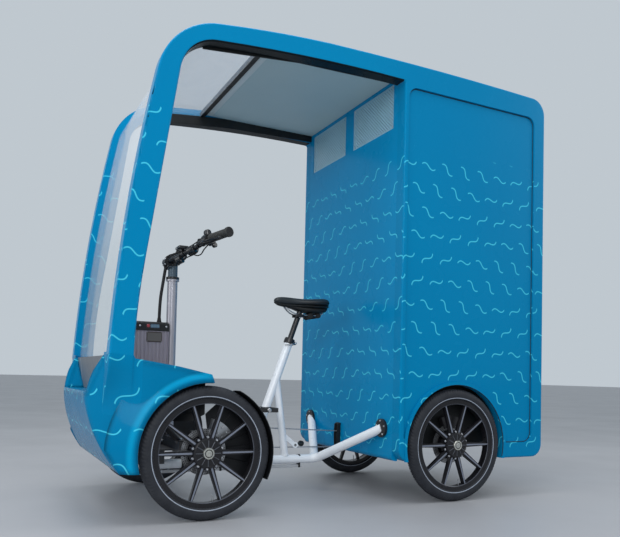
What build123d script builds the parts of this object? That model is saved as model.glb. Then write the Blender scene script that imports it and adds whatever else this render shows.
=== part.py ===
from build123d import *
import math
import os

os.makedirs("parts", exist_ok=True)

# Driving sizes in mm: +X forward, +Y left, +Z up, ground at z = 0, front face of the box at BOX_FRONT_X
CAB_LENGTH = 1303.0
BODY_WIDTH = 1000.0
HEIGHT = 1972.0
TYRE_R = 257.0
TYRE_W = 54.0
BOX_FRONT_X = -228.0
FRONT_OVERHANG = 434.0
ARCH_CLEAR = 20.0
WALL_TO_ARCH = 39.0
ARCH_TO_TAIL = 246.0
SEAT_GAP = 0.3
BEARING_GAP = 0.05

# Places that follow from them: nose tip, axles, tail and wheel middle
ARCH_R = TYRE_R + ARCH_CLEAR
NOSE_X = BOX_FRONT_X + CAB_LENGTH
FRONT_X = NOSE_X - FRONT_OVERHANG
REAR_X = BOX_FRONT_X - WALL_TO_ARCH - ARCH_R
BODY_TAIL_X = REAR_X - ARCH_R - ARCH_TO_TAIL
SIDE_Y = BODY_WIDTH / 2
WHEEL_Y = SIDE_Y - TYRE_W / 2
axle_to_box = FRONT_X - BOX_FRONT_X


def save(node, solid):
    export_step(solid, f"parts/{node}.step")


def block(x0, x1, y0, y1, z0, z1):
    size = Box(abs(x1 - x0), abs(y1 - y0), abs(z1 - z0))
    return Pos((x0 + x1) / 2, (y0 + y1) / 2, (z0 + z1) / 2) * size


def rod(start, end, radius):
    axis = Vector(*end) - Vector(*start)
    plane = Plane(origin=start, z_dir=axis)
    return extrude(plane * Circle(radius), amount=axis.length)


def bent_rod(points, bend_radius, radius):
    path = FilletPolyline(*points, radius=bend_radius)
    start = Plane(origin=path @ 0, z_dir=path % 0)
    return sweep(start * Circle(radius), path=path)


def rounded(face, corners):
    """The face with a radius at each (point, radius) of the list."""
    for point, radius in corners:
        corner = min(face.vertices(), key=lambda v: (v.X - point[0]) ** 2 + (v.Y - point[1]) ** 2)
        face = fillet(corner, radius)
    return face


def side_face(points, radii):
    """Closed outline in the XZ plane with its own corner radius at each point."""
    face = make_face(Polyline(*points, close=True))
    return rounded(face, [(point, radius) for point, radius in zip(points, radii) if radius > 0])


def across(face, y0, y1):
    """Extrude an outline drawn as (x, z) between two y values."""
    plane = Plane(origin=(0, max(y0, y1), 0), x_dir=(1, 0, 0), z_dir=(0, -1, 0))
    return extrude(plane * face, amount=abs(y1 - y0))


def mirrored(solid):
    return mirror(solid, about=Plane.XZ)


# Body side: windscreen pillar, roof rail and box side in one moulding
HOOP_T = 60.0
HOOP_EDGE_R = 8.0
BODY_BOTTOM_Z = 190.0
PILLAR_FOOT_Z = 621.0
TOP_CORNER_R = 270.0
INNER_CORNER_R = 155.0
TAIL_TOP_R = 80.0
TAIL_BOTTOM_R = 60.0
TAIL_DROP = 10.0
BOX_TOE_R = 55.0
BOX_CORNER_R = 12.0
OUTER_PILLAR_SHARES = ((0.9578, 0.0), (0.9071, 0.4708), (0.8150, 0.9415))
OUTER_ROOF_SHARES = ((0.8150, 0.9415), (0.6055, 0.9704), (0.2970, 0.9941))
OUTER_LID_SHARES = ((0.2970, 0.9941), (-0.1734, 1.0))
INNER_PILLAR_SHARES = ((0.8895, -0.0074), (0.8820, 0.1283), (0.8657, 0.2635))
INNER_ROOF_SHARES = ((0.7682, 0.8986), (0.3841, 0.9286), (0.0, 0.9349))


def cab_points(shares):
    """Side-view points from shares of the cab's length and of its height above the pillar's foot."""
    return [(BOX_FRONT_X + x * CAB_LENGTH, PILLAR_FOOT_Z + z * (HEIGHT - PILLAR_FOOT_Z)) for x, z in shares]


outer_pillar = cab_points(OUTER_PILLAR_SHARES)
outer_roof = cab_points(OUTER_ROOF_SHARES)
outer_lid = cab_points(OUTER_LID_SHARES)
inner_pillar = cab_points(INNER_PILLAR_SHARES)
inner_roof = cab_points(INNER_ROOF_SHARES)
RAIL_LOW_Z = inner_roof[-1][1]
tail_top = (BODY_TAIL_X, HEIGHT - TAIL_DROP)
tail_low = (BODY_TAIL_X, BODY_BOTTOM_Z)
box_toe = (BOX_FRONT_X, BODY_BOTTOM_Z)
outer_edges = [ThreePointArc(*outer_pillar), ThreePointArc(*outer_roof), ThreePointArc(*outer_lid, tail_top),
               Polyline(tail_top, tail_low, box_toe)]
outer_corners = [(outer_pillar[-1], TOP_CORNER_R), (tail_top, TAIL_TOP_R), (tail_low, TAIL_BOTTOM_R)]
nose_foot = (outer_pillar[0][0], BODY_BOTTOM_Z)
silhouette = rounded(make_face(outer_edges + [Polyline(box_toe, nose_foot, outer_pillar[0])]), outer_corners)

# The rider steps through the opening between pillar, rail and box
opening_edges = [Line(box_toe, inner_roof[-1]), ThreePointArc(*inner_roof), Line(inner_roof[0], inner_pillar[-1]),
                 ThreePointArc(*inner_pillar), Line(inner_pillar[0], outer_pillar[0])]
opening_corners = [(box_toe, BOX_TOE_R), (inner_roof[-1], BOX_CORNER_R), (inner_roof[0], INNER_CORNER_R)]
hoop_face = rounded(make_face(outer_edges + opening_edges), outer_corners + opening_corners)
body_side = across(hoop_face, SIDE_Y - HOOP_T, SIDE_Y)
outer_face = body_side.faces().sort_by(Axis.Y)[-1]
body_side = fillet(outer_face.edges(), HOOP_EDGE_R)

# Recessed outer panel of the box and the hollow behind it
PANEL_FRONT_MARGIN = 21.0
PANEL_BACK_MARGIN = 68.0
PANEL_LOW_MARGIN = 72.0
PANEL_TOP_MARGIN = 108.0
PANEL_FRONT_X = BOX_FRONT_X - PANEL_FRONT_MARGIN
PANEL_BACK_X = BODY_TAIL_X + PANEL_BACK_MARGIN
PANEL_LOW_Z = BODY_BOTTOM_Z + PANEL_LOW_MARGIN
PANEL_TOP_Z = HEIGHT - PANEL_TOP_MARGIN
PANEL_CORNER_R = 45.0
PANEL_DEPTH = 10.0
BOX_WALL_T = 30.0
ARCH_LIP_W = 14.0
ARCH_LIP_OUT = 3.0
panel_points = [(PANEL_FRONT_X, PANEL_LOW_Z), (PANEL_FRONT_X, PANEL_TOP_Z), (PANEL_BACK_X, PANEL_TOP_Z),
                (PANEL_BACK_X, PANEL_LOW_Z)]
panel_face = side_face(panel_points, (PANEL_CORNER_R,) * len(panel_points))

body_side -= across(panel_face, SIDE_Y - PANEL_DEPTH, SIDE_Y + PANEL_DEPTH)
INNER_POCKET_X0 = BODY_TAIL_X + HOOP_T
INNER_POCKET_X1 = BOX_FRONT_X - BOX_WALL_T
FLOOR_Z = 330.0
FLOOR_T = 25.0
ROOF_EDGE_H = 50.0
ROOF_UNDER_Z = HEIGHT - ROOF_EDGE_H
body_side -= block(INNER_POCKET_X0, INNER_POCKET_X1, SIDE_Y - HOOP_T, SIDE_Y - PANEL_DEPTH - BOX_WALL_T,
                   FLOOR_Z + FLOOR_T, PANEL_TOP_Z)
arch = Pos(REAR_X, SIDE_Y, TYRE_R) * Rot(X=90) * Cylinder(ARCH_R, HOOP_T * 3)
lip_ring = Pos(REAR_X, SIDE_Y - PANEL_DEPTH / 2, TYRE_R) * Rot(X=90) * Cylinder(ARCH_R + ARCH_LIP_W, PANEL_DEPTH)
lip_ring += Pos(REAR_X, SIDE_Y + ARCH_LIP_OUT / 2, TYRE_R) * Rot(X=90) * Cylinder(ARCH_R + ARCH_LIP_W, ARCH_LIP_OUT)
lip_ring &= block(REAR_X - ARCH_R * 2, REAR_X + ARCH_R * 2, 0, WHEEL_Y * 2, BODY_BOTTOM_Z, HEIGHT)
body_side += lip_ring
body_side -= arch

# Door hinge half on the rear post: leaf, two barrel lengths and the pin
HINGE_R = 4.0
HINGE_X = BODY_TAIL_X - HINGE_R
HINGE_SET_IN = 1.5
HINGE_Y = SIDE_Y - HOOP_T - HINGE_SET_IN
HINGE_PIN_R = 2.0
HINGE_LEAF_W = 34.0
HINGE_LEAF_T = 3.0
HINGE_KNUCKLE = 40.0
HINGE_CLEAR = HINGE_R + SEAT_GAP * 2
HINGE_HEIGHT_SHARES = (0.08, 0.50, 0.92)
DOOR_GAP = 3.0
DOOR_LOW_Z = FLOOR_Z + FLOOR_T + DOOR_GAP
DOOR_TOP_Z = ROOF_UNDER_Z - DOOR_GAP
hinge_zs = [DOOR_LOW_Z + share * (DOOR_TOP_Z - DOOR_LOW_Z) for share in HINGE_HEIGHT_SHARES]
for hinge_z in hinge_zs:
    leaf = block(BODY_TAIL_X - HINGE_LEAF_T, BODY_TAIL_X, HINGE_Y + HINGE_CLEAR, HINGE_Y + HINGE_LEAF_W,
                 hinge_z - HINGE_KNUCKLE * 1.5, hinge_z + HINGE_KNUCKLE * 1.5)
    body_side += leaf
    for step in (-1, 1):
        knuckle_z = hinge_z + step * HINGE_KNUCKLE
        body_side += Pos(HINGE_X, HINGE_Y, knuckle_z) * Cylinder(HINGE_R, HINGE_KNUCKLE - SEAT_GAP)
        body_side += block(BODY_TAIL_X - HINGE_LEAF_T, BODY_TAIL_X - SEAT_GAP, HINGE_Y, HINGE_Y + HINGE_LEAF_W,
                           knuckle_z - HINGE_KNUCKLE / 2 + SEAT_GAP, knuckle_z + HINGE_KNUCKLE / 2 - SEAT_GAP)
    body_side += Pos(HINGE_X, HINGE_Y, hinge_z) * Cylinder(HINGE_PIN_R, HINGE_KNUCKLE * 3)
save("left_body_side", body_side)
save("right_body_side", mirrored(body_side))

# Nose fairing with both front fenders, a thin shell open below and behind
NOSE_T = 5.0
NOSE_SHOULDER_IN = 170.0
NOSE_CORNER_R = 90.0
FLANK_BEND_R = 150.0
FLANK_BACK = 154.0
NOSE_TOE_BACK = 107.0
SHOULDER_Z = 475.0
FENDER_ARCH_CLEAR = 11.0
FENDER_ARCH_R = TYRE_R + FENDER_ARCH_CLEAR
FENDER_BACK = 17.0
LEDGE_BACK = 5.0
LEDGE_MID_AHEAD = 120.0
FENDER_RIM_H = 10.0
LEDGE_H = 42.0
LEDGE_MID_H = 69.0
NOSE_BROW_SHARE = (0.065, 0.8536)
NOSE_BELLY_SHARE = (0.290, 0.5354)
FENDER_END_X = FRONT_X - FENDER_BACK
FENDER_END_Z = TYRE_R + FENDER_ARCH_R - FENDER_RIM_H
LEDGE_END_X = FRONT_X - LEDGE_BACK
LEDGE_MID_Z = FENDER_END_Z + LEDGE_MID_H
NOSE_TOE_X = NOSE_X - NOSE_TOE_BACK


def nose_point(back_share, height_share):
    return (NOSE_X - back_share * NOSE_TOE_BACK, height_share * PILLAR_FOOT_Z)


brow = nose_point(*NOSE_BROW_SHARE)
nose_peak = (NOSE_X, SHOULDER_Z)
nose_toe = (NOSE_TOE_X, BODY_BOTTOM_Z)
fender_line = [nose_toe, (FENDER_END_X, BODY_BOTTOM_Z), (FENDER_END_X, FENDER_END_Z),
               (LEDGE_END_X, FENDER_END_Z + LEDGE_H), (FRONT_X + LEDGE_MID_AHEAD, LEDGE_MID_Z),
               (inner_pillar[0][0], inner_pillar[0][1] - SEAT_GAP),
               (outer_pillar[0][0], outer_pillar[0][1] - SEAT_GAP), brow, nose_peak]
nose_curve = ThreePointArc(nose_peak, nose_point(*NOSE_BELLY_SHARE), nose_toe)
nose_side_face = make_face([nose_curve, Polyline(*fender_line)])
flank_points = [(FENDER_END_X, SIDE_Y), (NOSE_X - FLANK_BACK, SIDE_Y), (NOSE_X, SIDE_Y - NOSE_SHOULDER_IN)]
plan_points = flank_points + [(x, -y) for x, y in flank_points[::-1]]
plan_radii = (0, FLANK_BEND_R, NOSE_CORNER_R, NOSE_CORNER_R, FLANK_BEND_R, 0)
nose_plan_face = side_face(plan_points, plan_radii)

# The fender swells out to a lip round the arch: a cone about the wheel's axle
FLARE_OUT = 12.0
FLARE_IN = 38.0
LIP_W = 17.0
FLARE_W = 95.0
lip_r = FENDER_ARCH_R + LIP_W


def nose_plan(wall):
    """What the side outline cuts the nose from: its plan with both flares, moved in by the wall."""
    flare = Rot(X=-90) * Cone(lip_r + FLARE_W, lip_r, FLARE_OUT + FLARE_IN)
    flare = Pos(FRONT_X, SIDE_Y + (FLARE_OUT - FLARE_IN) / 2 - wall, TYRE_R) * flare
    plan = extrude(offset(nose_plan_face, -wall) if wall > 0 else nose_plan_face, amount=HEIGHT)
    return plan + flare + mirrored(flare)


nose_outer = nose_plan(0) & across(nose_side_face, -BODY_WIDTH, BODY_WIDTH)

# Recess in the nose that holds the grey panel below the windscreen
RECESS_TOP_IN = 116.0
RECESS_LOW_IN = 175.0
RECESS_TOP_Y = SIDE_Y - RECESS_TOP_IN
RECESS_LOW_Y = SIDE_Y - RECESS_LOW_IN
RECESS_FLOOR_Z = 482.0
RECESS_TOP_BACK = 71.0
RECESS_LOW_BACK = 95.0
RECESS_TOP_X = NOSE_X - RECESS_TOP_BACK
RECESS_LOW_X = NOSE_X - RECESS_LOW_BACK


def recess(grow):
    low_z = RECESS_FLOOR_Z - grow
    top_z = PILLAR_FOOT_Z + NOSE_T * 2
    outline = Polyline((-RECESS_LOW_Y - grow, low_z), (RECESS_LOW_Y + grow, low_z), (RECESS_TOP_Y + grow, top_z),
                       (-RECESS_TOP_Y - grow, top_z), close=True)
    front = Plane(origin=(0, 0, 0), x_dir=(0, 1, 0), z_dir=(1, 0, 0))
    prism = extrude(front * make_face(outline), amount=NOSE_X * 2)
    lean = make_face(Polyline((RECESS_LOW_X - grow, low_z), (NOSE_X * 2, low_z), (NOSE_X * 2, top_z),
                              (RECESS_TOP_X - grow, top_z), close=True))
    return prism & across(lean, -SIDE_Y, SIDE_Y)


FOOT_WELL_BACK = 170.0
FOOT_WELL_X = NOSE_X - FOOT_WELL_BACK
MOUTH_X = NOSE_TOE_X - NOSE_T
hollow_plan = nose_plan(NOSE_T)
nose_inner = hollow_plan & across(offset(nose_side_face, -NOSE_T), -BODY_WIDTH, BODY_WIDTH)
nose = nose_outer - recess(0) - (nose_inner - recess(NOSE_T))
nose -= block(FENDER_END_X - NOSE_T, FOOT_WELL_X, -RECESS_LOW_Y, RECESS_LOW_Y, 0, HEIGHT)
nose -= hollow_plan & block(FENDER_END_X, MOUTH_X, -BODY_WIDTH, BODY_WIDTH, 0, BODY_BOTTOM_Z + NOSE_T * 2)
nose -= Pos(FRONT_X, 0, TYRE_R) * Rot(X=90) * Cylinder(FENDER_ARCH_R, BODY_WIDTH * 2)
nose -= block(FENDER_END_X - NOSE_T, FRONT_X, -BODY_WIDTH, BODY_WIDTH, 0, TYRE_R + FENDER_ARCH_R - NOSE_T)
save("nose", nose)

# Grey panel in the recess and the clear windscreen above it
BASE_PANEL_T = 4.0
panel_lean = make_face(Polyline((RECESS_LOW_X + SEAT_GAP, RECESS_FLOOR_Z + SEAT_GAP),
                                (RECESS_LOW_X + BASE_PANEL_T, RECESS_FLOOR_Z + SEAT_GAP),
                                (RECESS_TOP_X + BASE_PANEL_T, PILLAR_FOOT_Z - SEAT_GAP),
                                (RECESS_TOP_X + SEAT_GAP, PILLAR_FOOT_Z - SEAT_GAP), close=True))
screen_base = across(panel_lean, -SIDE_Y, SIDE_Y) & recess(-SEAT_GAP / 2)
save("screen_base", screen_base)

SCREEN_T = 4.0
SCREEN_INSET = 30.0
ROOF_FRONT_SHARE = 0.504
ROOF_FRONT_X = BOX_FRONT_X + ROOF_FRONT_SHARE * CAB_LENGTH
HOOP_INNER_Y = SIDE_Y - HOOP_T
screen_band = offset(silhouette, -SCREEN_INSET) - offset(silhouette, -SCREEN_INSET - SCREEN_T)
screen_zone = make_face(Polyline((ROOF_FRONT_X, PILLAR_FOOT_Z + SEAT_GAP), (NOSE_X, PILLAR_FOOT_Z + SEAT_GAP),
                                 (NOSE_X, HEIGHT), (ROOF_FRONT_X, HEIGHT), close=True))
windscreen = across(screen_band & screen_zone, -HOOP_INNER_Y + SEAT_GAP, HOOP_INNER_Y - SEAT_GAP)
save("windscreen", windscreen)

# Roof: pale panel over the rider, black frame round it, closed lid over the box
ROOF_FRAME_T = 6.0
ROOF_BAR_W = 22.0
ROOF_BAR_H = 26.0
roof_zone = side_face([(BOX_FRONT_X + SEAT_GAP, ROOF_UNDER_Z), (ROOF_FRONT_X - ROOF_BAR_W - SEAT_GAP, ROOF_UNDER_Z),
                       (ROOF_FRONT_X - ROOF_BAR_W - SEAT_GAP, HEIGHT), (BOX_FRONT_X + SEAT_GAP, HEIGHT)], (0,) * 4)
ROOF_INSET = 8.0
roof_face = offset(silhouette, -ROOF_INSET) & roof_zone
roof_half_w = HOOP_INNER_Y - ROOF_FRAME_T - SEAT_GAP * 2
roof_panel = across(roof_face, -roof_half_w, roof_half_w)
save("roof_panel", roof_panel)

RAIL_LINER_SHORT = 83.0
RAIL_LINER_X = inner_roof[0][0] - RAIL_LINER_SHORT
liner_points = [(BOX_FRONT_X + SEAT_GAP, RAIL_LOW_Z + ROOF_FRAME_T), inner_roof[1],
                (RAIL_LINER_X, inner_roof[0][1]), (RAIL_LINER_X, ROOF_UNDER_Z - ROOF_BAR_H),
                (ROOF_FRONT_X, ROOF_UNDER_Z + ROOF_BAR_H / 2), (BOX_FRONT_X + SEAT_GAP, ROOF_UNDER_Z + ROOF_BAR_H)]
liner_face = make_face(Polyline(*liner_points, close=True))
liner_face &= offset(silhouette, -SCREEN_INSET - SCREEN_T - SEAT_GAP)
liner_outer_y = HOOP_INNER_Y - SEAT_GAP
liner = across(liner_face, liner_outer_y - ROOF_FRAME_T, liner_outer_y)
front_bar = block(ROOF_FRONT_X - ROOF_BAR_W, ROOF_FRONT_X - SEAT_GAP, -liner_outer_y, liner_outer_y,
                  ROOF_UNDER_Z - ROOF_BAR_H / 2, ROOF_UNDER_Z + ROOF_BAR_H / 2)
front_bar &= across(offset(silhouette, -ROOF_INSET), -SIDE_Y, SIDE_Y)
roof_frame = liner + mirrored(liner) + front_bar
save("roof_frame", roof_frame)

LID_BACK_X = BODY_TAIL_X + SEAT_GAP
lid_zone = side_face([(LID_BACK_X, ROOF_UNDER_Z), (BOX_FRONT_X, ROOF_UNDER_Z), (BOX_FRONT_X, HEIGHT),
                      (LID_BACK_X, HEIGHT)], (0,) * 4)
lid_face = offset(silhouette, -ROOF_INSET) & lid_zone
box_roof = across(lid_face, -HOOP_INNER_Y + SEAT_GAP, HOOP_INNER_Y - SEAT_GAP)
save("box_roof", box_roof)

# Front wall of the box with two vent openings and the slot for the chain
WALL_LOW_DROP = 2.0
WALL_LOW_Z = BODY_BOTTOM_Z - WALL_LOW_DROP
VENT_IN_Y = 38.0
VENT_SIDE_MARGIN = 35.0
VENT_TOP_MARGIN = 16.0
VENT_H = 206.0
VENT_OUT_Y = HOOP_INNER_Y - VENT_SIDE_MARGIN
VENT_TOP_Z = ROOF_UNDER_Z - VENT_TOP_MARGIN
VENT_LOW_Z = VENT_TOP_Z - VENT_H
CHAIN_Y = -45.0
CHAIN_SLOT_W = 34.0
CHAIN_SLOT_H = 112.0
WALL_BACK_X = BOX_FRONT_X - BOX_WALL_T
WALL_TOE_R = 20.0
front_wall = block(WALL_BACK_X, BOX_FRONT_X, -HOOP_INNER_Y + SEAT_GAP, HOOP_INNER_Y - SEAT_GAP,
                   WALL_LOW_Z, ROOF_UNDER_Z - SEAT_GAP)
for edge in front_wall.edges().filter_by(Axis.Y):
    if edge.center().Z < FLOOR_Z and edge.center().X > WALL_BACK_X + SEAT_GAP:
        front_wall = fillet(edge, WALL_TOE_R)
for vent_y in (VENT_IN_Y, -VENT_OUT_Y):
    front_wall -= block(WALL_BACK_X - BOX_WALL_T, BOX_FRONT_X + BOX_WALL_T, vent_y,
                        vent_y + VENT_OUT_Y - VENT_IN_Y, VENT_LOW_Z, VENT_TOP_Z)
front_wall -= block(WALL_BACK_X - BOX_WALL_T, BOX_FRONT_X + BOX_WALL_T, CHAIN_Y - CHAIN_SLOT_W / 2,
                    CHAIN_Y + CHAIN_SLOT_W / 2, WALL_LOW_Z - BOX_WALL_T, WALL_LOW_Z + CHAIN_SLOT_H)
save("box_front_wall", front_wall)

GRILLE_T = 4.0
GRILLE_COLUMNS = 13
GRILLE_ROWS = 7
GRILLE_HOLE_SHARE = 0.77
grille_w = VENT_OUT_Y - VENT_IN_Y - SEAT_GAP * 2
grille_h = VENT_TOP_Z - VENT_LOW_Z - SEAT_GAP * 2
grille_z = (VENT_TOP_Z + VENT_LOW_Z) / 2
grille_plane = Plane(origin=(BOX_FRONT_X - GRILLE_T * 2, (VENT_OUT_Y + VENT_IN_Y) / 2, grille_z),
                     x_dir=(0, 1, 0), z_dir=(1, 0, 0))
grille_face = Rectangle(grille_w, grille_h)
pitch_y = grille_w / (GRILLE_COLUMNS + 1)
pitch_z = grille_h / (GRILLE_ROWS + 1)
grille_hole = Rectangle(pitch_y * GRILLE_HOLE_SHARE, pitch_z * GRILLE_HOLE_SHARE)
grille_face -= GridLocations(pitch_y, pitch_z, GRILLE_COLUMNS, GRILLE_ROWS) * grille_hole
grille = extrude(grille_plane * grille_face, amount=GRILLE_T)
save("vent_grilles", grille + mirrored(grille))

# Box floor with the rear apron, cut for the wheel wells
WELL_IN = 77.0
WELL_CLEAR = 8.5
WELL_Y = WHEEL_Y - WELL_IN
WELL_R = ARCH_R + WELL_CLEAR
APRON_T = 20.0
APRON_RAISE = 25.0
APRON_LOW_Z = BODY_BOTTOM_Z + APRON_RAISE
floor_back_x = BODY_TAIL_X + SEAT_GAP
box_floor = block(floor_back_x + APRON_T, WALL_BACK_X - SEAT_GAP, -HOOP_INNER_Y + SEAT_GAP,
                  HOOP_INNER_Y - SEAT_GAP, FLOOR_Z, FLOOR_Z + FLOOR_T)
box_floor += block(floor_back_x, floor_back_x + APRON_T, -HOOP_INNER_Y + SEAT_GAP, HOOP_INNER_Y - SEAT_GAP,
                   APRON_LOW_Z, FLOOR_Z + FLOOR_T)
well = Pos(REAR_X, (WELL_Y + SIDE_Y) / 2, TYRE_R) * Rot(X=90) * Cylinder(WELL_R, SIDE_Y - WELL_Y)
box_floor -= well
box_floor -= mirrored(well)
save("box_floor", box_floor)

LINER_T = 5.0
well_outer_y = HOOP_INNER_Y - SEAT_GAP
arch_liner = Cylinder(WELL_R - SEAT_GAP, well_outer_y - WELL_Y)
arch_liner = Pos(REAR_X, (WELL_Y + well_outer_y) / 2, TYRE_R) * Rot(X=90) * arch_liner
arch_liner -= Pos(REAR_X, SIDE_Y, TYRE_R) * Rot(X=90) * Cylinder(WELL_R - LINER_T, (SIDE_Y - WELL_Y - LINER_T) * 2)
arch_liner &= block(REAR_X - WELL_R, REAR_X + WELL_R, 0, SIDE_Y, TYRE_R, HEIGHT)
AXLE_SLOT_R = 24.0
arch_liner -= Pos(REAR_X, SIDE_Y, TYRE_R) * Rot(X=90) * Cylinder(AXLE_SLOT_R, BODY_WIDTH)
save("rear_arch_liners", arch_liner + mirrored(arch_liner))

# Two rear doors, hinged at the posts
DOOR_T = 32.0
HANDLE_W = 30.0
HANDLE_H = 140.0
HANDLE_Z = 1080.0
HANDLE_OUT = 7.0
door_y1 = HOOP_INNER_Y - DOOR_GAP
door = block(BODY_TAIL_X, BODY_TAIL_X + DOOR_T, DOOR_GAP / 2, door_y1, DOOR_LOW_Z, DOOR_TOP_Z)
for hinge_z in hinge_zs:
    door += block(BODY_TAIL_X - HINGE_LEAF_T, BODY_TAIL_X, HINGE_Y - HINGE_LEAF_W, HINGE_Y - HINGE_CLEAR,
                  hinge_z - HINGE_KNUCKLE * 1.5, hinge_z + HINGE_KNUCKLE * 1.5)
    door += block(BODY_TAIL_X - HINGE_LEAF_T, BODY_TAIL_X - SEAT_GAP, HINGE_Y - HINGE_LEAF_W, HINGE_Y,
                  hinge_z - HINGE_KNUCKLE / 2 + SEAT_GAP, hinge_z + HINGE_KNUCKLE / 2 - SEAT_GAP)
    door += Pos(HINGE_X, HINGE_Y, hinge_z) * Cylinder(HINGE_R, HINGE_KNUCKLE - SEAT_GAP)
    door -= Pos(HINGE_X, HINGE_Y, hinge_z) * Cylinder(HINGE_PIN_R + BEARING_GAP, HINGE_KNUCKLE * 3)
handle = block(BODY_TAIL_X - HANDLE_OUT, BODY_TAIL_X, HANDLE_W, HANDLE_W * 2, HANDLE_Z - HANDLE_H / 2,
               HANDLE_Z + HANDLE_H / 2)
save("left_rear_door", door + handle)
save("right_rear_door", mirrored(door + handle))

LAMP_W = 110.0
LAMP_H = 46.0
LAMP_T = 7.5
LAMP_SIDE_MARGIN = 90.0
LAMP_RAISE = 90.0
LAMP_Y = HOOP_INNER_Y - LAMP_SIDE_MARGIN
LAMP_Z = BODY_BOTTOM_Z + LAMP_RAISE
lamp = block(floor_back_x - LAMP_T, floor_back_x, LAMP_Y - LAMP_W / 2, LAMP_Y + LAMP_W / 2, LAMP_Z - LAMP_H / 2,
             LAMP_Z + LAMP_H / 2)
save("rear_lamps", lamp + mirrored(lamp))

# Tube frame: spine, two rear branches, seat tube and strut, crank shell
SPINE_R = 21.0
SPINE_DROP = 102.0
SPINE_Z = TYRE_R - SPINE_DROP
BEAM_AHEAD = 65.0
SPINE_FRONT_X = FRONT_X + BEAM_AHEAD
FORK_SHARE = 0.1818
FORK_X = BOX_FRONT_X + FORK_SHARE * axle_to_box
BRANCH_IN = 80.0
BRANCH_Y = HOOP_INNER_Y - BRANCH_IN
BRANCH_Z = FLOOR_Z
BRANCH_BEND_R = 60.0
DISC_R = 42.0
DISC_T = 12.0
disc_front_x = BOX_FRONT_X + DISC_T
SEAT_TUBE_R = 20.0
STRUT_R = 17.0
SEAT_FOOT_SHARE = 0.5938
SEAT_TOP_SHARE = 0.3636
STRUT_TOP_SHARE = 0.4350
STRUT_FOOT_SHARE = 0.3671
CRANK_SHARE = 0.6420
SEAT_FOOT_X = BOX_FRONT_X + SEAT_FOOT_SHARE * axle_to_box
SEAT_TOP_X = BOX_FRONT_X + SEAT_TOP_SHARE * axle_to_box
SEAT_TOP_Z = 712.0
STRUT_TOP_X = BOX_FRONT_X + STRUT_TOP_SHARE * axle_to_box
STRUT_TOP_Z = 560.0
STRUT_FOOT_X = BOX_FRONT_X + STRUT_FOOT_SHARE * axle_to_box
CRANK_X = BOX_FRONT_X + CRANK_SHARE * axle_to_box
CRANK_RAISE = 5.0
CRANK_Z = TYRE_R + CRANK_RAISE
CRANK_SHELL_R = 22.0
CRANK_SHELL_W = 64.0
CRANK_AXLE_R = 10.0
frame = rod((SPINE_FRONT_X, 0, SPINE_Z), (FORK_X, 0, SPINE_Z), SPINE_R)
branch_end = (BOX_FRONT_X, BRANCH_Y, BRANCH_Z)
branch_points = [(STRUT_FOOT_X, 0, SPINE_Z), (FORK_X, SPINE_R / 3, SPINE_Z), branch_end]
branch = bent_rod(branch_points, BRANCH_BEND_R, SPINE_R)
branch &= block(disc_front_x + SEAT_GAP, SPINE_FRONT_X, -SPINE_R, SIDE_Y, 0, HEIGHT)
frame += branch
frame += mirrored(branch)
frame += rod((SEAT_FOOT_X, 0, SPINE_Z), (SEAT_TOP_X, 0, SEAT_TOP_Z), SEAT_TUBE_R)
frame += rod((STRUT_FOOT_X, 0, SPINE_Z), (STRUT_TOP_X, 0, STRUT_TOP_Z), STRUT_R)
frame += Pos(CRANK_X, 0, CRANK_Z) * Rot(X=90) * Cylinder(CRANK_SHELL_R, CRANK_SHELL_W)
GUSSET_T = 8.0
gusset_points = [(CRANK_X, CRANK_Z), (CRANK_X + SPINE_R, SPINE_Z), (SEAT_FOOT_X - SPINE_R, SPINE_Z),
                 (SEAT_FOOT_X - SEAT_TUBE_R * 2, CRANK_Z)]
frame += across(make_face(Polyline(*gusset_points, close=True)), -GUSSET_T / 2, GUSSET_T / 2)
TAB_BACK = 52.0
TAB_RAISE = 67.0
TAB_X = STRUT_FOOT_X - TAB_BACK
TAB_Z = SPINE_Z + TAB_RAISE
TAB_R = 14.0
TAB_HOLE_R = 4.5
TAB_T = 6.0
tab_points = [(STRUT_FOOT_X + STRUT_R, TAB_Z + STRUT_R * 4), (STRUT_FOOT_X + STRUT_R / 2, TAB_Z + STRUT_R * 2),
              (TAB_X, TAB_Z - TAB_R), (TAB_X - TAB_R, TAB_Z)]
tab = across(make_face(Polyline(*tab_points, close=True)), -TAB_T / 2, TAB_T / 2)
tab += Pos(TAB_X, 0, TAB_Z) * Rot(X=90) * Cylinder(TAB_R, TAB_T)
tab -= Pos(TAB_X, 0, TAB_Z) * Rot(X=90) * Cylinder(TAB_HOLE_R, TAB_T * 2)
frame += tab
frame -= Pos(CRANK_X, 0, CRANK_Z) * Rot(X=90) * Cylinder(CRANK_AXLE_R + BEARING_GAP, CRANK_SHELL_W * 2)
SEAT_POST_R = 13.5
SEAT_TUBE_BORE_L = 120.0
seat_axis = Vector(SEAT_TOP_X - SEAT_FOOT_X, 0, SEAT_TOP_Z - SPINE_Z).normalized()
seat_top = Vector(SEAT_TOP_X, 0, SEAT_TOP_Z)
post_foot = seat_top - seat_axis * SEAT_TUBE_BORE_L
frame -= rod(tuple(post_foot), tuple(seat_top + seat_axis * SEAT_TUBE_BORE_L), SEAT_POST_R + SEAT_GAP)
save("spine_frame", frame)

mount_disc = Pos(BOX_FRONT_X + DISC_T / 2 + SEAT_GAP / 2, BRANCH_Y, BRANCH_Z) * Rot(Y=90) * Cylinder(
    DISC_R, DISC_T - SEAT_GAP)
save("frame_mounts", mount_disc + mirrored(mount_disc))

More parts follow.
